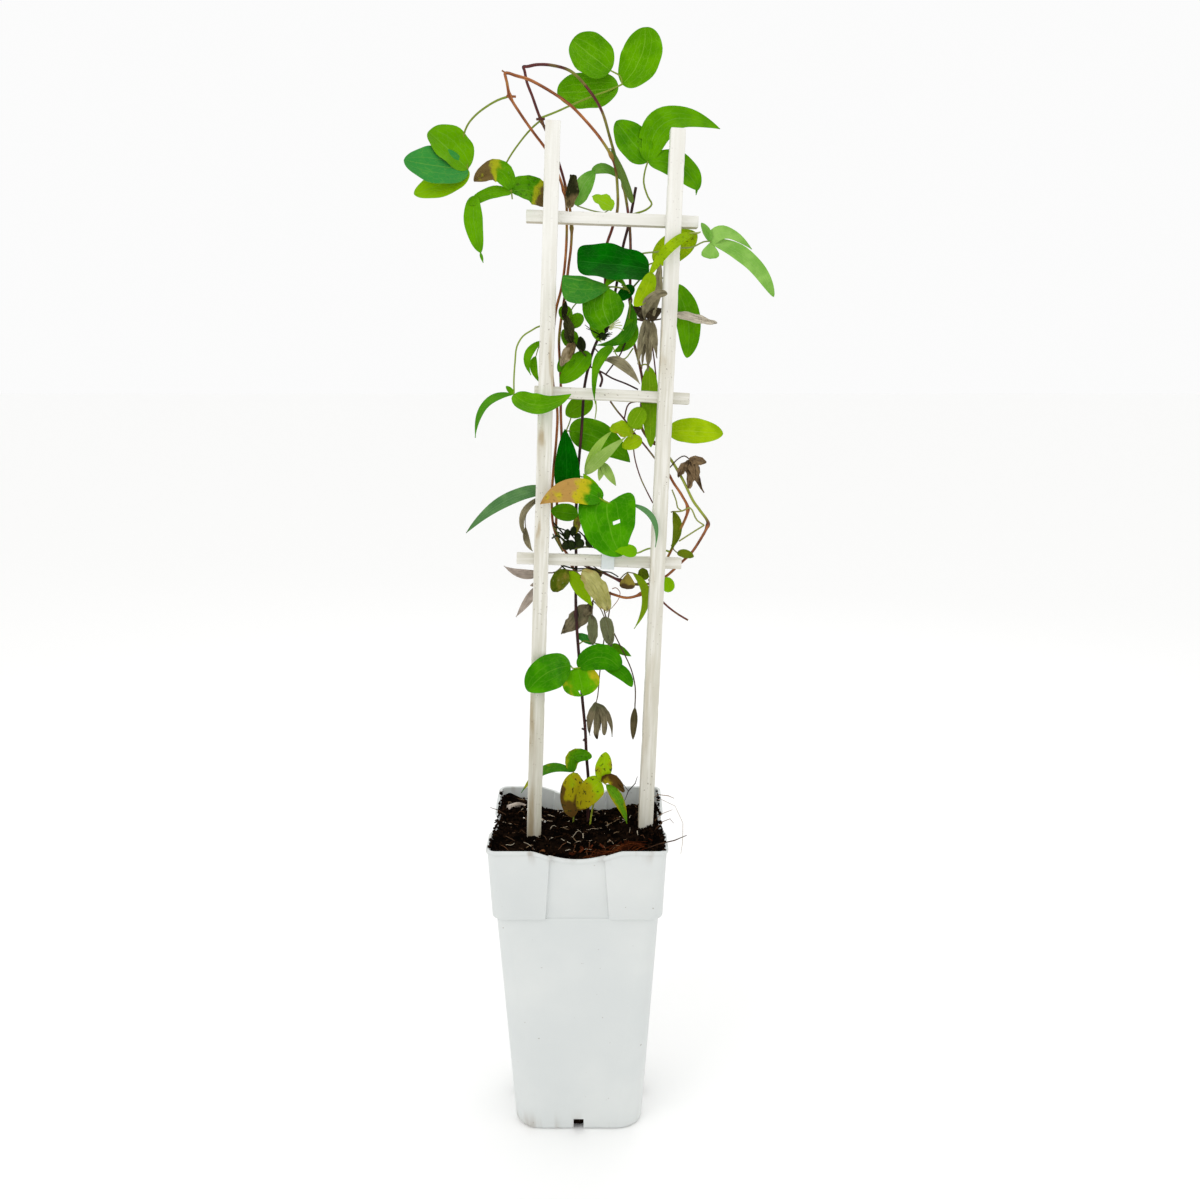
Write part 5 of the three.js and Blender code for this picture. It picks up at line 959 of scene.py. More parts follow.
shoot("leaf_top", "leaf_light", [
    (1.6, (-60.5, 1.5, 574.5), (-49, 5, 580.5), (-37.5, 8, 587), (-19.5, 10.5, 596), (-7, 12, 601.5),
     (2.5, 12.5, 606.5)),
    (1.4, (2.5, 12.5, 606.5), (0.5, 12.5, 612.5), (-7, 12, 616)),
], [
    (ROUND, 31.5, 8, 0, (16, 10, 626.5), (18, 7, 648.5)),
    (ROUND, 34.5, 6, 1, (-38.5, 8, 635.5), {"holes": ((0.38, 0.12, 0.035, 0.1),)}),
    (ROUND, 31, 7, (-0.5, 12.5, 605), (-24, 17, 601), (-48.5, 17, 599)),
])
shoot("leaf_upper_left", "leaf_mid", [
    (1.6, (-85, -18, 583.5), (-94, -18, 580), (-103, -17.5, 574.5), (-111, -15, 568.5), (-117, -12, 561.5),
     (-120, -9.5, 551.5), (-118, -10, 540), (-115.5, -13, 529.5)),
], [
    (ROUND, 30.5, 10, 0, (-145.5, -18, 554.5), {"face": (0.1, -1, 0.5), "lean": 0.28, "tint": 1.25}),
    # Its blue-green tint stands in for the pale sheen on this leaflet: painted reflection.
    (OVAL, 31, 6, 0, (-139, -22, 528.5), (-163, -26, 530.5), {"face": (0, -1, 0.35), "tint": -0.5}),
    (OVAL, 21.5, 10, 0, (-133.5, -16, 517.5), (-156, -15, 508.5), {"tint": 1.8}),
])
shoot("leaf_left_withering", "leaf_mid", [
    (1.5, (-60.5, 2, 573), (-68, 2, 566), (-77, -0.5, 554), (-84.5, -4, 541.5), (-88, -6, 533),
     (-88, -6.5, 524.5), (-82, -6, 516)),
    (1.3, (-82, -6, 517.5), (-81, -6, 510.5)),
], [
    (OVAL, 18, 24, (-82, -6, 517.5), (-93.5, -13, 530), (-110.5, -14, 520.5),
     {"face": (0.2, -1, -0.3), "tint": 1, "age": (-1.3, 2.1), "crease": 1.4}),
    (ROUND, 10, 12, (-82, -6, 515), (-97.5, -9, 513.5), (-113.5, -11, 503.5), {"tint": 1.15}),
    (OVAL, 15.5, 12, (-109.5, -10.5, 510.5), (-110, -11, 491), (-104, -11, 468),
     {"face": (-0.3, -1, 0.2), "tint": 1.15}),
    (LANCE, 2.5, 6, (-104.5, -11, 468.5), (-102, -11, 460.5)),
    (OVAL, 23, 14, 0, (-66.5, 3, 519.5), (-53, 11, 510.5), {"age": (-1.7, 1.7), "spots": 0.5, "crease": 1.4}),
])
shoot("leaf_upper_right", "leaf_mid", [
    (1.6, (12, 21, 508), (16.5, 19, 509.5), (26, 18, 513), (30.5, 17, 517.5), (27, 15, 522.5), (23, 14, 533),
     (23.5, 13, 542), (25.5, 12.5, 549.5)),
], [
    (OVAL, 27, 8, (25.5, 12.5, 549), (-1.5, 9, 577.5), {"spots": 0.25}),
    (OVATE, 24.5, 10, 0, (40, 10.5, 580.5), (81.5, 9, 576.5),
     {"face": (0.1, -1, 0.2), "tint": 1.1, "holes": ((0.14, -1, 0.06, 0.35),)}),
    (OVAL, 22.5, 8, 0, (50.5, 10.5, 546), (66.5, 10, 529), {"tint": 0.9}),
    (LANCE, 2, 6, (65.5, 10, 531.5), (65, 10, 525)),
])
shoot("leaf_arch_strap", "leaf_grey", [
    (1, (-7.5, 19, 509), (-4, 16.5, 511), (-0.5, 15.5, 512.5)),
    (1.2, (4.5, 19.5, 509), (-7.5, 19, 509), (-16.5, 18, 510), (-24, 17, 511.5), (-29.5, 17, 513)),
], [
    (OVATE, 15, 14, 0, (-18, 12, 520), {"face": (0, -1, 0.5), "wave": 1, "tint": 2.2}),
    (OVAL, 15, 10, 1, (-26, 16, 526.5), (-16, 17, 540.5), {"face": (0.5, -1, 0.3), "tint": -0.1}),
    (OVATE, 9, 10, (-18.5, 17, 539.5), (-6.5, 19, 543), (5.5, 22, 536), {"face": (0.2, -1, 0.3), "tint": -0.35}),
])
shoot("leaf_arch_narrow", "leaf_grey", [
    (1, (-6.5, 16, 558), (-3.5, 14, 557.5)),
], [
    (LATE, 6.5, 20, (-4, 14.5, 557.5), (5, 13, 538.5), (14.5, 14, 517), {"tint": -0.8}),
])
shoot("leaf_withered_lath", "dried_dark", [
    (1.1, (-38, 17.5, 514), (-36.5, 14, 510.5)),
], [
    (BROAD, 12, 30, 0, (-35.5, 11, 522), (-34.5, 10, 535),
     {"face": (0.4, -1, 0), "twist": 20, "age": (1, -0.2), "crease": 1.6}),
])

# ------------------------------------------------------------------ upper leaves
# The leaves between the two upper rungs. One is spotted and folded over the upright,
# one hangs far out at the right, and two dark ones stand over the spent flower.

shoot("leaf_canopy_dark", "leaf_dark", [
    (1.5, (16.5, 17, 449.5), (23.5, 14, 458), (30, 10, 465.5)),
], [
    (SQUARE, 33.5, 10, 0, (1, 5, 467.5), (-28.5, 2, 467.5), {"face": (0, -1, 0.5), "wave": 0.35}),
    # The small dark leaflet below fills a patch of shade under the canopy: painted shade.
    (OVAL, 10.5, 8, (18.5, 16, 452.5), (5, 9, 439.5)),
])
shoot("leaf_canopy_grey", "leaf_mid", [
    (1.4, (17, 17, 445), (13.5, 9, 448.5), (8, 5, 451.5)),
    (1.4, (13.5, 9, 448.5), (2.5, 4, 449.5), (-5, 1, 448.5)),
], [
    # Its slight blue-green tint stands in for the pale sheen on this blade: painted reflection.
    (FAN, 28, 12, (0, 3, 449), (-18, -2, 452), (-40, -3, 454),
     {"face": (0, -1, 0.4), "lean": -0.8, "tint": -0.28}),
    (LANCE, 7, 12, 1, (3, 4, 456.5), (13.5, 8, 448), {"face": (0, -1, 0.5), "tint": 1.2}),
    (BROAD, 34, 8, (-4.5, 1, 448.5), (-7, -5, 433), (-1, -5, 418.5), {"tint": 0.15}),
])
shoot("leaf_flower_wrap", "leaf_mid", [
    (1.3, (17, 17, 441.5), (16, 12, 439.5), (16, 11, 433), (15.5, 11, 426)),
    (1, (-6.5, 8, 408.5), (-7, 12, 407.5), (-6, 15.5, 407)),
], [
    (LANCE, 11.5, 24, (16, 12.5, 439.5), (14.5, 10, 414), (-11.5, 7.5, 403.5),
     {"face": (-0.4, -1, -0.2), "tint": -0.1}),
    (OVATE, 13, 16, 0, (16.5, 13, 409.5), (4, 14, 399.5)),
    (OVAL, 11.5, 16, (-7, 11.5, 407.5), (-14.5, 9, 429), {"tint": 1.2}),
])
shoot("leaf_spotted", "leaf_lime", [
    (1.4, (15.5, 18, 471.5), (25, 17.5, 469), (35.5, 18, 472.5)),
    (1.4, (66, 18, 495.5), (69, 17, 497), (70, 12, 497), (67.5, 5, 495), (63, -2, 493.5), (59, -7.5, 492)),
], [
    (OVAL, 24.5, 5, (34.5, 18, 472.5), (52, 18, 486), (68.5, 17.5, 496.5), {"spots": 0.7}),
    (OVAL, 8.5, 12, (62, -3.5, 493), (42.5, -11.5, 479), (28, -11, 457), {"face": (0.2, -1, 0.2), "spots": 0.35}),
    (OVAL, 13.5, 12, (29.5, -11, 460), (25.5, -11, 445.5), (17.5, -8, 434),
     {"face": (0.2, -1, 0.2), "tint": 0.2, "spots": 0.3}),
])
shoot("leaf_outer_right", "leaf_grey", [
    (1.4, (15.5, 18.5, 476.5), (26.5, 13, 478.5), (34.5, 8.5, 479), (41, 7.5, 480), (54.5, 7.5, 483),
     (63.5, 7, 484), (72.5, 6, 488.5), (78, 5, 489)),
], [
    (OVAL, 8, 30, 0, (69, 1, 502)),
    (SWEPT, 12, 10, 0, (90, 2, 495.5), (111, 2, 484), {"tint": 0.9}),
    (FAN, 15, 12, 0, (77.5, 3, 475), {"tint": 1.1}),
    (OVAL, 13.5, 10, 0, (108.5, 0, 475), (130.5, 0, 447.5), {"tint": 0.8}),
])
shoot("leaf_right_rear", "leaf_mid", [
    (1.3, (16, 17.5, 460), (31.5, 15, 461), (44.5, 13.5, 459), (52.5, 13.5, 455)),
], [
    (OVAL, 21, 10, (52, 13.5, 455), (64, 14.5, 427.5), (64.5, 14.5, 397.5), {"tint": 1}),
])
shoot("leaves_mid_left", "leaf_mid", [
    (1.1, (-33.5, 12, 424.5), (-30, 10.5, 433), (-24, 9.5, 439.5)),
    (1.4, (-14.5, 17.5, 391.5), (-20.5, 15, 397.5), (-26.5, 13, 403.5), (-31, 12.5, 414.5), (-33.5, 12, 424.5)),
    (1.2, (-26.5, 13, 403.5), (-29, 12.5, 391.5)),
    (1.2, (-20.5, 15, 397.5), (-16.5, 13.5, 399)),
], [
    (OVAL, 9.5, 12, 0, (-36, 8, 441)),
    (ROUND, 11.5, 10, (-33, 12, 422.5), (-39, 10, 433.5), {"tint": 1.3}),
    (ROUND, 11.5, 10, (-32, 12.5, 418), (-22, 10, 427), {"tint": 1.2}),
    (OVAL, 14.5, 10, (-26, 13, 403), (-38, 10, 414.5), {"tint": 1.1}),
    (OVAL, 17, 10, 3, (-25, 12, 386.5), (-38.5, 10.5, 372.5), {"tint": 1}),
    (OVAL, 12, 10, (-28, 13, 397.5), (-40, 12, 381.5)),
])
shoot("leaf_twisted_front", "leaf_light", [
    (1.2, (20.5, 17.5, 403.5), (14, 15, 394.5), (7, 8.5, 396), (3, 5, 402.5)),
    (1, (-9.5, -1, 359), (-8.5, 4, 352), (-9, 9, 344)),
], [
    (TAILED, 9.5, 24, 0, (-9.5, -1.5, 386.5), (-10, -1.5, 356.5), {"twist": 50, "wave": 0.8, "tint": 0}),
])
shoot("leaf_long_yellow", "leaf_lime", [
    (1.3, (27, 17.5, 389.5), (31, 17, 391), (35, 17, 389)),
], [
    (OVAL, 14.5, 6, (34.5, 17, 389), (36, 16, 360.5), (38, 11.5, 324), {"tint": -0.45}),
])
shoot("leaf_left_outer", "leaf_light", [
    (1.2, (-50.5, 11, 417), (-52.5, 9, 410.5), (-54.5, 8, 404)),
    (1, (-54.5, 8, 404), (-57, 7, 398.5), (-58.5, 6.5, 392.5)),
    (1.5, (-45.5, 14.5, 414.5), (-50.5, 11, 417), (-57, 7, 416), (-63, 2, 412), (-69.5, -1, 407),
     (-74, -3, 398.5), (-75, -5, 387), (-75.5, -7, 372), (-75, -8, 361)),
], [
    (LANCE, 7, 12, (-54, 8, 405), (-65, 2, 392), (-62, 0, 377)),
    (LANCE, 6.5, 12, 1, (-60, 6.5, 383), (-54.5, 8, 371.5)),
    (LANCE, 7, 14, 2, (-97, -13, 351.5), (-104.5, -12, 325.5), {"face": (-0.3, -1, 0.3), "tint": -0.2}),
    (OVATE, 19, 14, 2, (-54.5, -14.5, 353), (-30, -12, 363), {"face": (0, -1, 0.5)}),
    (OVAL, 4.5, 10, 2, (-81.5, -9, 367)),
])

# ------------------------------------------------------------------ middle leaves
# The leaves round the middle rung, from fresh green to lime and pale.

shoot("leaf_lath_dark", "leaf_dark", [
    (1.3, (-21, 18, 290), (-24, 14, 281), (-29.5, 11, 280.5)),
], [
    (OVATE, 21.5, 12, (-29, 11, 280.5), (-30.5, 9.5, 307), (-33, 11, 336)),
])
shoot("leaf_broad_rear", "leaf_mid", [
    (1.2, (-31.5, 23, 334.5), (-29, 25.5, 341), (-27, 26.5, 348.5)),
    (1.3, (-35, 21.5, 332), (-33, 23, 333.5), (-30.5, 23.5, 334.5), (-27.5, 23, 334.5)),
], [
    (OVAL, 17.5, 6, (-11, 24, 361.5), (-32, 27, 347.5), {"tint": 1.3}),
    (OVATE, 28, 6, (-29, 23, 334.5), (-2, 25, 328.5), (22.5, 22, 311), {"tint": 0.75}),
])
shoot("leaves_pale", "leaf_pale", [
    (1.2, (-20.5, 18, 299), (-16.5, 14.5, 297.5), (-11, 13, 303.5)),
    (1, (-11, 13, 303.5), (-5, 13, 311), (-0.5, 12.5, 309)),
], [
    (LANCE, 10.5, 12, (-15, 14, 299.5), (-2, 8, 314.5), (17, 9, 331.5)),
    (LANCE, 7.5, 12, (-15, 14, 299), (-7, 12.5, 320), (6.5, 13.5, 336.5), {"tint": 1.5}),
    (OVATE, 8, 14, (-1.5, 12.5, 309.5), (10.5, 10, 291.5)),
    (OVATE, 6.5, 14, 1, (-3.5, 11, 295)),
])
shoot("leaves_curled_yellow", "leaf_lime", [
    (1.2, (29, 15, 329.5), (23.5, 14, 329.5), (22, 12.5, 334), (21, 12, 339)),
    (1, (23.5, 14, 329.5), (30.5, 14.5, 331)),
    (1, (22, 12.5, 334), (26, 13, 339)),
], [
    (ROUND, 15.5, 14, 0, (30, 12, 355.5), {"tint": -0.4}),
    (OVAL, 16.5, 24, (23, 13, 335), (3.5, 9, 338), {"face": (0, -1, 0.6), "wave": 1, "age": (0, 0.35)}),
    (OVAL, 12.5, 12, 1, (14.5, 11, 323)),
    (OVAL, 9, 10, (25, 13, 338), (28.5, 14, 345.5)),
])
shoot("leaf_lime_right", "leaf_lime", [
    (1.3, (36, 19, 332.5), (42.5, 18, 333.5), (47.5, 13, 336), (51, 9, 337.5)),
], [
    (OVAL, 21.5, 8, 0, (73.5, 9, 338.5), (96.5, 7, 337)),
])
woody("stalks_right", GREEN_BARK, [
    (1.3, (59.5, 9, 272), (65.5, 5.5, 273), (71.5, 1, 276), (77, -2, 266.5), (83, -3.5, 262.5)),
    (1.2, (57, 10, 290), (60.5, 6.5, 281), (62, 6, 275.5), (65.5, 5.5, 273)),
    (1.3, (83, -3.5, 262.5), (74, 2, 255.5), (64.5, 7, 248)),
])
shoot("leaf_right_low", "leaf_olive", [
    (1.1, (57, 10, 271.5), (59.5, 9, 272.5)),
    (1.1, (58.5, 9.5, 244.5), (61, 10.5, 240.5), (64, 11.5, 238)),
], [
    (LANCE, 9, 30, (58.5, 9, 272.5), (62.5, 8, 256.5), (57.5, 8.5, 239.5)),
    (OVAL, 9, 20, 1, (77.5, 7.5, 235.5), {"face": (0, -1, 0.7)}),
])
shoot("leaf_blue_long", "leaf_blue", [
    (1.3, (-42, 17, 284), (-43.5, 13, 285), (-46, 9.5, 286)),
], [
    (OVATE, 12, 10, (-45.5, 10, 286), (-79.5, 2, 276), (-110, -6, 249.5), {"face": (0, -1, 0.5)}),
])
shoot("leaf_front_large", "leaf_bright", [
    (1.7, (59, 17, 238), (48, 14, 241), (41, 9.5, 241), (36, 4, 240), (31.5, -2, 238.5), (28.5, -6, 238)),
    (1.5, (3.5, -6, 278), (-3.5, -5.5, 281.5), (-7, -6, 286.5)),
    (1.2, (3.5, -6, 278), (13, -5.5, 276.5), (22, -7, 277.5)),
], [
    (HEART, 47, 7, (3, -6, 278), (5.5, -11, 256.5), (16.5, -7, 235.5),
     {"age": (-0.5, 0.03), "holes": ((0.38, -0.2, 0.045, 0.12), (0.41, -0.36, 0.035, 0.12))}),
    (OVATE, 10.5, 7, 0, (18.5, -9, 240.5), (7, -8, 241), {"tint": 1.5}),
    (OVATE, 21, 10, (-1.5, -5.5, 280.5), (-27.5, -12.5, 286.5), (-51.5, -12, 275),
     {"age": (-0.3, 2), "edge": 0.1, "spots": 0.3, "crease": 0.6}),
    (OVATE, 9.5, 8, (-4.5, -5.5, 283), (-17.5, -5, 300.5), {"tint": 1.7}),
    (LANCE, 5, 8, 2, (40, -10, 266.5), (43, -9, 243.5), {"tint": -0.7}),
])
shoot("leaf_lath_rear", "leaf_mid", [
    (1.2, (-20.5, 17.5, 265), (-19.5, 14, 267)),
], [
    (OVAL, 15, 10, 0, (-42, 12, 269)),
    (LANCE, 7.5, 30, (-19.5, 14.5, 266.5), (-21.5, 14, 248), {"age": (0.9, 1), "crease": 0.8}),
])

# ------------------------------------------------------------------ lower leaves
# The leaves below the low rung and at the soil, some of them olive or yellow.

shoot("leaves_below_rung", "leaf_olive", [
    (1.3, (-28, 13, 220.5), (-19.5, 14.5, 219.5), (-9.5, 13, 221), (2, 12, 220.5)),
    (1.2, (-19, 17.5, 217.5), (-19.5, 14.5, 219.5)),
], [
    (OVAL, 16, 25, (-27.5, 13, 220.5), (-38, 12, 202), {"wave": 1.5, "age": (0.1, 0.45), "crease": 2}),
    (LANCE, 12.5, 10, (-25, 13.5, 220), (-5, 12.5, 191), {"tint": 1.9}),
    (OVAL, 11, 20, 0, (-12.5, 14, 210.5), {"age": (1, 1), "crease": 1.2}),
])
shoot("leaf_low_right", "leaf_olive", [
    (1.1, (18, 17.5, 214), (20.5, 12.5, 218), (23.5, 10.5, 220.5)),
    (1.1, (32.5, 18, 210), (35, 13, 216.5), (40.5, 12, 221)),
    (1.1, (35, 13, 216.5), (29.5, 10, 219.5), (23.5, 10.5, 220.5)),
], [
    (FAN, 14, 20, 0, (23, 8, 206.5), {"wave": 1, "age": (0.5, 0.8)}),
    (OVAL, 11, 16, 1, (32, 10, 217), {"wave": 1}),
    (LANCE, 7.5, 10, (27.5, 10, 220), (39, 6, 201), (30, 4, 174), {"tint": 1.5}),
])
shoot("leaflet_right_low", "leaf_light", [
    (1.1, (51.5, 18, 220.5), (53.5, 13, 218), (54.5, 9, 217)),
], [
    (ROUND, 11.5, 10, (54, 10, 217), (60, 9, 205.5), {"tint": 1.7}),
])
shoot("leaf_low_rear", "leaf_mid", [
    (1.2, (-15, 18.5, 157), (-10, 20.5, 160), (-1.5, 20.5, 158.5), (8.5, 20.5, 157), (13.5, 20, 157.5)),
], [
    (OVAL, 7.5, 10, (-0.5, 20.5, 158.5), (-17, 22, 165.5), {"tint": -0.4}),
    (OVATE, 7.5, 10, (13, 20, 157.5), (30.5, 21, 148)),
])
shoot("leaf_low_front", "leaf_bright", [
    (1.6, (-13, 19, 139), (-14.5, 14.5, 138)),
    (1.4, (-14.5, 14.5, 138), (-19, 12, 138), (-21, 10, 140.5)),
    (1.1, (-14.5, 14.5, 138), (-4.5, 13, 139), (7, 12.5, 139.5)),
], [
    (OVAL, 29.5, 7, 1, (-41.5, -12, 138), (-56.5, -14.5, 123), {"lean": -0.05, "tint": 0.3}),
    (ROUND, 32, 6, (-15, 14.5, 138), (-9, 8, 115.5),
     {"tint": 1.25, "edge": 0.3, "holes": ((0.86, 0.18, 0.16, 0.15),)}),
    (ROUND, 22, 8, (-14, 14.5, 138), (3, 8, 149), (20, 8, 140), {"tint": 0}),
    (OVAL, 12, 8, 2, (21, 9, 136.5), (31, 9, 124), {"tint": 0.2}),
])
shoot("leaves_base_left", "leaf_mid", [
    (1.6, (-12.5, 27, -12.5), (-13, 24, 10), (-12.5, 22, 25.5), (-15, 20, 47.5)),
], [
    (ROUND, 13, 12, (-15, 20, 46.5), (-15, 16, 61), (0, 14, 61.5), {"tint": 0.3, "edge": 0.3, "spots": 0.5}),
    (LANCE, 8.5, 12, (-15, 20, 46.5), (-38.5, 20, 48), (-58.5, 44, 20),
     {"face": (0, -1, 0.6), "tint": -0.15, "age": (-0.2, 0.35), "spots": 0.3}),
])
shoot("leaves_base_yellow", "leaf_lime", [
    (1.5, (0.5, 18, -9), (2, 16, 13), (5, 14, 28.5), (8.5, 14, 41)),
    (1.4, (5, 14, 28.5), (-5, 16, 38), (-12, 17, 46.5)),
    (1.3, (8.5, 14, 41), (14, 13, 37.5)),
], [
    (OVAL, 19.5, 10, 1, (-16.5, 11, 29), (-14.5, 10, 10), {"age": (0.3, 1.05), "edge": 0.25, "spots": 1}),
    (OVAL, 20.5, 10, 0, (0, 9, 33.5), (-10.5, 9, 16.5), {"age": (-0.15, 0.75), "edge": 0.15, "spots": 0.9}),
    (OVAL, 14.5, 8, (9, 14, 40.5), (11.5, 11, 67), {"tint": 1.6, "age": (0.18, 0.18), "spots": 0.85}),
    (OVAL, 10, 25, (9.5, 14, 40), (17.5, 11, 43.5), (28.5, 11, 32.5), {"age": (1, 1), "crease": 1.5}),
    (LANCE, 10, 14, (13, 13, 38), (23.5, 8, 26.5), (31.5, 5, 6.5), {"tint": -0.7, "edge": 0.3, "spots": 0.4}),
])

# ------------------------------------------------------------------ dried leaves
# Leaves that have died on the plant: thin, twisted and creased, grey to brown.

shoot("dried_upper", "dried_grey", [
    (1.2, (32, 13, 426), (41, 12, 427), (50, 9, 432)),
    (1.3, (17.5, 17, 427.5), (25, 15, 426.5), (32, 13, 426)),
], [
    (OVAL, 7.5, 25, (49.5, 9, 431.5), (86.5, 5, 425.5), {"twist": 60, "tint": 1.9, "crease": 1.2}),
    (OVAL, 9, 25, (33, 13, 426), (36.5, 11, 448), (39, 12, 471), {"twist": 30, "tint": 1, "crease": 1.4}),
    (LANCE, 9, 35, 1, (26, 8, 440), (27, 8.5, 454.5), {"twist": -50, "age": (0.7, 1), "crease": 2}),
    (LATE, 8, 25, (28.5, 14, 426.5), (28.5, -13.5, 437.5), (42.5, -14, 444.5), {"tint": 0.3, "crease": 1.2}),
    (LANCE, 7.5, 30, (29, 14, 426.5), (24.5, 13, 390.5), {"twist": 40, "tint": 0.9, "crease": 1.4}),
    (LANCE, 7.5, 30, 1, (33, 12, 385.5), {"twist": -40, "tint": 0.2, "crease": 1.4}),
    (LANCE, 6.5, 30, (34.5, 12.5, 426.5), (40, 13, 396), {"twist": 50, "tint": 0.6, "crease": 1.4}),
    (LANCE, 5.5, 35, (30.5, 13.5, 426), (28, 14.5, 387), {"twist": 30, "tint": 0, "crease": 1.2}),
    (OVAL, 9.5, 30, (29, 14, 426.5), (19, 10, 436), {"twist": 40, "age": (0.8, 1), "crease": 2}),
    (OVAL, 9.5, 30, (31.5, 13, 426), (42, 10, 435.5), {"twist": -30, "age": (0.9, 1), "crease": 2}),
])
shoot("dried_mid_left", "dried_dark", [
    (1.2, (-18, 12, 395), (-23, 9.5, 399.5), (-29, 8, 405.5)),
    (1, (-30, 8, 404.5), (-34.5, 7, 415), (-38, 7, 424.5)),
], [
    (OVATE, 12, 45, (-30, 8, 404.5), (-39, 6.5, 429), {"twist": 50, "crease": 1.8}),
    (LANCE, 6.5, 35, (-37.5, 7, 423.5), (-36, 5, 437), {"crease": 1.2}),
    (OVAL, 9.5, 40, (-21.5, 10.5, 398), (-23.5, 8, 410), {"tint": -0.2}),
    (OVAL, 10.5, 30, (-28.5, 8, 405), (-38, 9, 386), {"twist": 30, "age": (0.5, 1), "crease": 2}),
])
shoot("dried_grey_mid", "dried_grey", [
    (1.2, (-10.5, 17, 401.5), (-6.5, 13, 397), (-1.5, 11, 391.5)),
], [
    (LANCE, 10.5, 35, (-2.5, 11.5, 392.5), (13, 8, 388), (26.5, 10, 374.5), {"twist": 50}),
])
shoot("dried_bundle", "dried_brown", [
    (1.2, (46.5, 9, 302.5), (54.5, 9, 308.5), (59.5, 8.5, 314.5), (65.5, 8, 318), (70.5, 7, 315)),
], [
    (OVAL, 9, 40, (70, 7, 315), (61, 5, 300.5), {"twist": 60, "crease": 2}),
    (OVAL, 10.5, 40, 0, (69.5, 4, 291.5), {"twist": -50, "crease": 2}),
    (OVAL, 10.5, 40, 0, (78, 4, 297.5), {"twist": 40, "crease": 2}),
    (OVAL, 10, 40, (69.5, 7, 315.5), (83.5, 6, 313), {"crease": 2}),
    (LANCE, 6, 35, 0, (83, 7, 288.5), {"twist": 90, "crease": 1}),
    (OVAL, 12.5, 20, (70, 7, 315), (75, 10, 300.5), {"age": (0.7, 1), "crease": 2.4}),
])
shoot("dried_left", "dried_grey", [
    (1.1, (-41.5, 17, 276), (-46.5, 12, 280), (-51.5, 8.5, 280)),
    (1, (-51.5, 8.5, 280), (-60, 6, 271), (-63, 4.5, 262), (-62, 3.5, 253)),
], [
    (OVAL, 6.5, 35, (-50.5, 9, 280), (-64, 5, 266), (-62, 3, 247.5), {"twist": 70}),
    (LANCE, 6.5, 35, (-62.5, 3.5, 255.5), (-61, 3, 244), (-56, 2, 236)),
])
shoot("dried_left_low", "dried_pink", [
    (1.2, (-27, 22.5, 227), (-36, 18, 218), (-44.5, 13, 217.5), (-50, 11, 217.5)),
    (1.1, (-44.5, 13, 217.5), (-47.5, 10.5, 211.5), (-50, 8, 206)),
], [
    (LANCE, 9, 25, (-48.5, 11.5, 217.5), (-64, 7, 216.5), (-79, 3, 223)),
    (LANCE, 8, 25, (-49, 9, 208.5), (-68, 4, 181)),
    (OVAL, 4, 10, (-48, 9.5, 210), (-57, 7, 207)),
])
shoot("dried_beige", "dried_beige", [
    (1.1, (-2, 10, 214), (-9, 7, 218.5), (-15, 6, 220.5)),
], [
    (OVAL, 18, 18, 0, (-2, 2, 206.5), (7, 4, 188.5), {"wave": 2.2, "edge": 0.3, "crease": 2.2}),
])
shoot("dried_hanging", "dried_grey", [
    (1.3, (1.5, 17.5, 203.5), (-4, 20, 194.5), (-7, 22, 186.5)),
    (1.1, (-4, 20, 194.5), (-4.5, 16, 187), (-4.5, 13, 180)),
    (1.1, (-4, 20, 194.5), (2, 17.5, 189), (6, 13, 181)),
], [
    (OVATE, 16, 16, (-6, 21.5, 189), (-29.5, 24, 165), {"tint": -0.75, "age": (0.5, 0.8), "crease": 1.8}),
    (OVAL, 10, 25, (-4.5, 14.5, 183.5), (-3, 13.5, 158), {"tint": -0.75, "crease": 1.2}),
    (OVATE, 12.5, 20, (6, 13.5, 182), (12.5, 13.5, 156.5), {"tint": -0.75, "crease": 1.4}),
    (OVAL, 7.5, 25, (-4.5, 20.5, 193), (-11, 18, 181), {"age": (0.9, 1), "crease": 1.6}),
])
shoot("flower_withered", "dried_grey", [
    (1.1, (10, 16.5, 203), (10, 18.5, 185.5), (6.5, 17.5, 162), (4, 17, 133.5), (3, 15, 115), (1.5, 14, 107.5)),
], [
    (LANCE, 7, 30, (2, 14, 109.5), (-3, 12, 96), (-2.5, 12, 80.5),
     {"tint": -0.5, "age": (0.1, 0.8), "crease": 0.8}),
    (LATE, 6, 30, (2, 14, 108.5), (3.5, 11, 78), {"twist": 50, "tint": -0.5, "age": (0.1, 0.9), "crease": 0.8}),
    (LATE, 6, 30, (2, 14, 108.5), (8, 12, 98), (9.5, 11, 81.5), {"tint": -0.5, "age": (0.1, 0.8), "crease": 0.8}),
    (LANCE, 6, 30, (2, 14, 108.5), (12, 13, 97.5), (16.5, 14, 79.5),
     {"twist": -50, "tint": -0.5, "age": (0.1, 0.8), "crease": 0.8}),
    (LANCE, 6, 30, (2, 14, 108.5), (6.5, 18, 84), {"crease": 0.8}),
])

# ------------------------------------------------------------------ buds and flowers
# What is left of the flowers: a dark centre with stiff styles round it, loose cream
# filaments, a row of buds over the low rung, near-black with painted shade, and a withered bud on a thread.

# Near-black skin: on the buds over the low rung it is painted shade; the spent flower's centre and styles share
# it.
DARK_SKIN_AND_SHADE = leaf_finish("dark_skin_and_shade", "#141d0e #33401f #56613a #2a3318 #3d3a1e #241c12 #6a7434", 0.55, 0.9, 0.4)
CREAM = leaf_finish("cream_filament", "#b9c07a #dfe3b4 #eef0cf #d5d9a6 #c9b878 #8d7a4a #c4cc8a", 0.6)
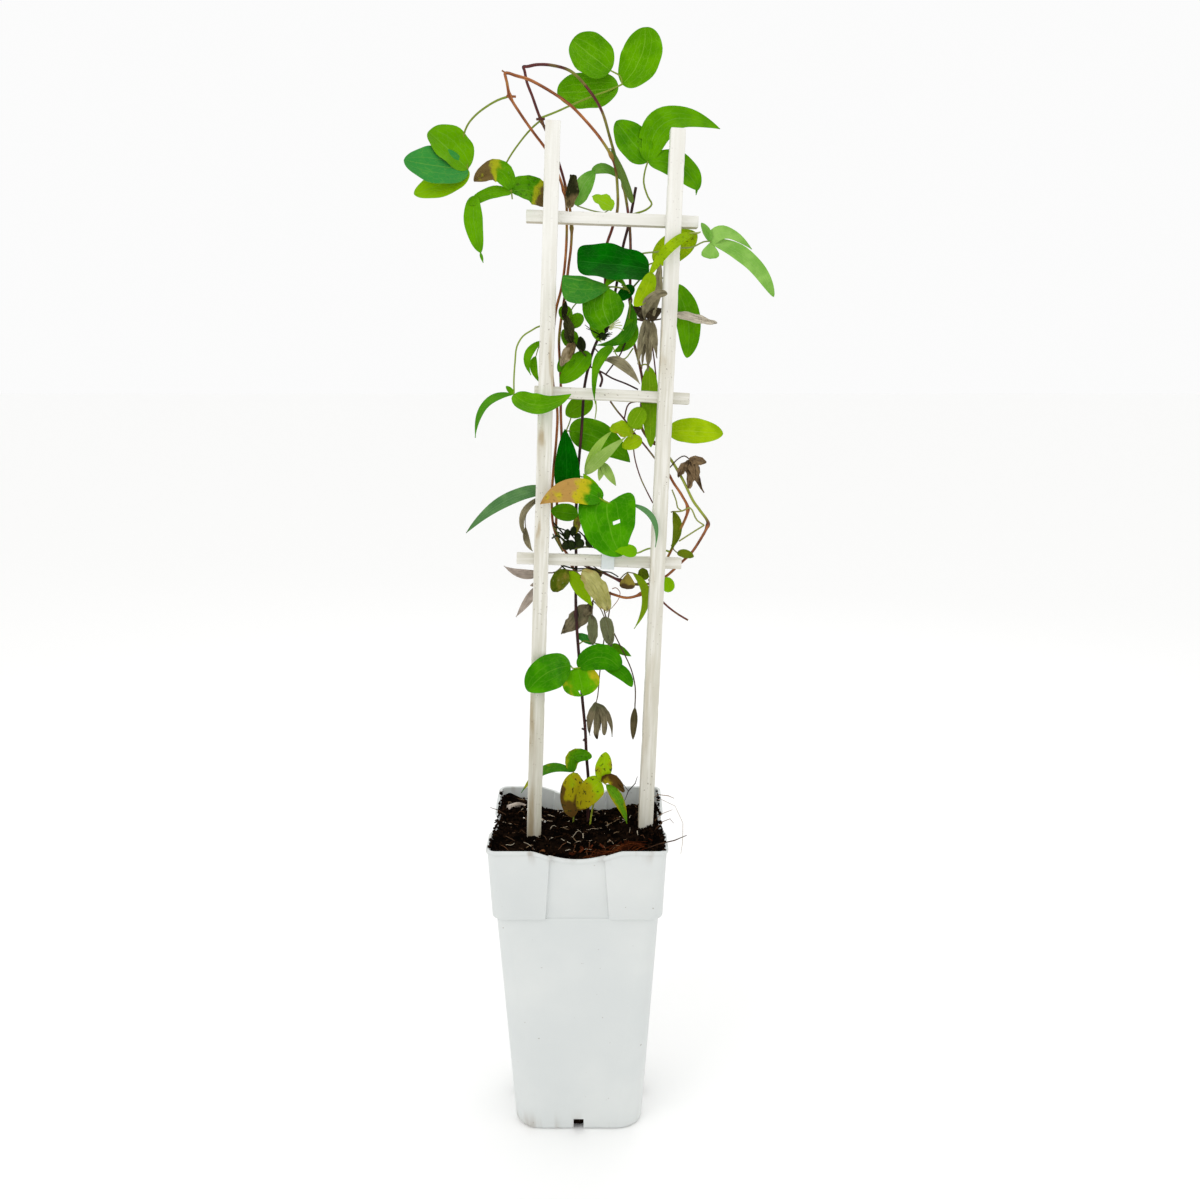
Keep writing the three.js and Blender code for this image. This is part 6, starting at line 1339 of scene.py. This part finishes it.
# The look of the dark twigs and styles, as tint, age, kind and spots, and how many there are.
DARK, STYLES, FILAMENTS = (0.1, 0, 0, 0), 30, 13
BUD = [(0, 0), (0.30, 0.05), (0.46, 0.28), (0.5, 0.5), (0.4, 0.78), (0.16, 0.96), (0, 1)]
WITHERED = [(0, 0), (1.8, 0.12), (3.3, 0.4), (2.6, 0.7), (0.8, 0.95), (0, 1)]
FLOWER, FILAMENT_ROOT = Vector((-5.5, 12.5, 411.5)), Vector((0.9, 8.8, 417.5))


def add_bud(bm, base, tip, profile, wide=1, look=(0.4, 0, 0, 0), sides=14, ribs=5, rib_depth=0.08):
    """A body of soft lobes between two points: radius and share of the length."""
    leaf, uv = bm.verts.layers.float_color["leaf"], bm.loops.layers.uv["leaf_map"]
    start, way = Vector(base), Vector(tip) - Vector(base)
    along = way.normalized()
    side = along.orthogonal().normalized()
    other = along.cross(side)
    rows = []
    for spot in smooth_route([(radius * wide, share, 0) for radius, share in profile], 3)[1:-1]:
        rows.append([])
        for n in range(sides):
            rib = 1 - rib_depth * (1 - abs(math.cos(math.pi * n / sides * ribs))) * 2
            radius = max(0.05, spot.x) * rib
            vert = bm.verts.new(start + way * spot.y + around(side, other, n, sides) * radius)
            vert[leaf] = look
            rows[-1].append(vert)
    for face in skin(bm, rows):
        for loop in face.loops:
            loop[uv].uv = (0.5, 0.5)


bm = new_growth()
for wide, high, *centre in (
    (8.5, 8, -24.5, 14, 241.5), (8, 7.5, -17, 13, 243), (7.5, 8, -9, 14, 244), (7.5, 6.5, -2.5, 13.5, 241.5),
    (5, 5, 4.5, 14, 240), (6, 9, -28, 13, 250), (5.5, 8, -23, 13, 253), (7, 8, -28.5, 13, 241),
    (6, 7, -19, 13, 248), (7, 8, -10.5, 13, 249), (6, 7, -5, 13, 252), (6, 6.5, -0.5, 13, 244.5),
):
    low = Vector(centre) - Vector((0.6, 0, high / 2))
    add_bud(bm, low, low + Vector((1.2, 0.4, high)), BUD, wide)
add_stems(bm, [
    (1.4, (-32, 14, 239.5), (-23.5, 13, 238), (-13.5, 13, 240), (-2, 14, 239.5), (5, 14, 238)),
    (1.2, (-37, 17, 253), (-32, 14, 239.5)),
    (1.2, (-39.5, 17, 255.5), (-34, 13, 248.5), (-26, 12, 238)),
    (1.2, (-39.5, 17.5, 249.5), (-36, 13, 243.5), (-31, 12, 235.5)),
], sides=6)
add_stems(bm, [
    (1.5, (-40, 17.5, 259.5), (-34, 12, 253.5), (-27, 11, 245.5), (-22.5, 12, 239)),
    (1.3, (-38, 18, 252), (-32.5, 11, 250), (-25.5, 10, 243), (-22, 12, 238)),
    (1.6, (-40, 18, 246), (-36.5, 12, 248.5), (-29.5, 10, 244.5), (-24.5, 12, 237)),
    (1.2, (-39, 17, 255.5), (-29, 12, 253), (-22, 12, 247), (-18.5, 12, 240.5)),
    (1.2, (-19.5, 18, 253.5), (-15, 13, 250), (-10.5, 12, 244.5), (-8.5, 13, 239.5)),
    (1.4, (-31, 20, 223.5), (-20.5, 15.5, 221.5), (-8, 12, 222), (3, 13, 218.5)),
    (1.2, (-36.5, 22, 231), (-30.5, 17, 222.5), (-21, 15, 216.5), (-13.5, 13, 214)),
    (1.1, (-6.5, 17, 225), (1, 14, 220.5), (9.5, 13, 219.5), (16, 14, 216)),
], look=DARK, sides=6)
placed("buds_dark", bm, DARK_SKIN_AND_SHADE)

bm = new_growth()
add_bud(bm, (34.5, 11, 106.5), (34, 11, 78), WITHERED, look=(-0.3, 0, 0, 0), ribs=7, rib_depth=0.2)
add_stems(bm, [
    (1.1, (3, 17.5, 203.5), (6.5, 15, 183.5), (15.5, 17.5, 166.5), (23, 16, 152.5), (30, 13, 138.5),
     (34, 12, 123.5), (34.5, 11, 104)),
], sides=6)
placed("bud_withered", bm, GREENS["dried_brown"])

bm = new_growth()
add_bud(bm, FLOWER - Vector((0, 0, 3.5)), FLOWER + Vector((0, 0, 3.5)), BUD, 8, ribs=9)
add_stem(bm, 1.8, [(-7.5, 16.5, 408), (-6.5, 14.5, 410), FLOWER])
for k in range(STYLES):
    turn = 2 * math.pi * k / STYLES
    upward = math.sin(turn) > -0.1 and math.cos(turn) < 0.45
    long = (11.5 if upward else 6.5) + (3.5 if upward else 1.5) * math.sin(5 * k + 1)
    out = Vector((math.cos(turn), -0.35 - 0.3 * math.cos(3 * k), 0.35 + 0.85 * math.sin(turn))) * long
    bend = Vector((dice.uniform(-1, 1), dice.uniform(-0.6, 0.6), dice.uniform(-1, 1)))
    add_stem(bm, 1.3, [FLOWER, FLOWER + out * 0.5 + bend, FLOWER + out], look=DARK, sides=5, ends=(1, 0.4))
placed("flower_spent", bm, DARK_SKIN_AND_SHADE)

bm = new_growth()
add_bud(bm, FILAMENT_ROOT - Vector((0, 0, 1.3)), FILAMENT_ROOT + Vector((0, 0, 1.3)), BUD, 3.4)
for k in range(FILAMENTS):
    spread = -7 + 1.45 * k
    high = 11 - 0.12 * spread ** 2 + math.sin(7 * k)
    tip = FILAMENT_ROOT + Vector((spread, -2.5 + 0.8 * math.sin(4 * k), high))
    middle = (FILAMENT_ROOT + tip) / 2 + Vector((0, 0, 1.2))
    add_stem(bm, 0.9, [FILAMENT_ROOT, middle, tip], look=(0.6, 0, 0, 0), sides=5, ends=(0.7, 1))
placed("flower_filaments", bm, CREAM)

bm = new_growth()
add_stem(bm, 4.6, [(-69, 44, 7), (-60, 56, 5.5), (-49, 67, -3), (-41, 73, -15)], look=(0.5, 0, 0, 0), sides=12)
placed("stem_cut_pale", bm, GREENS["dried_pink"])
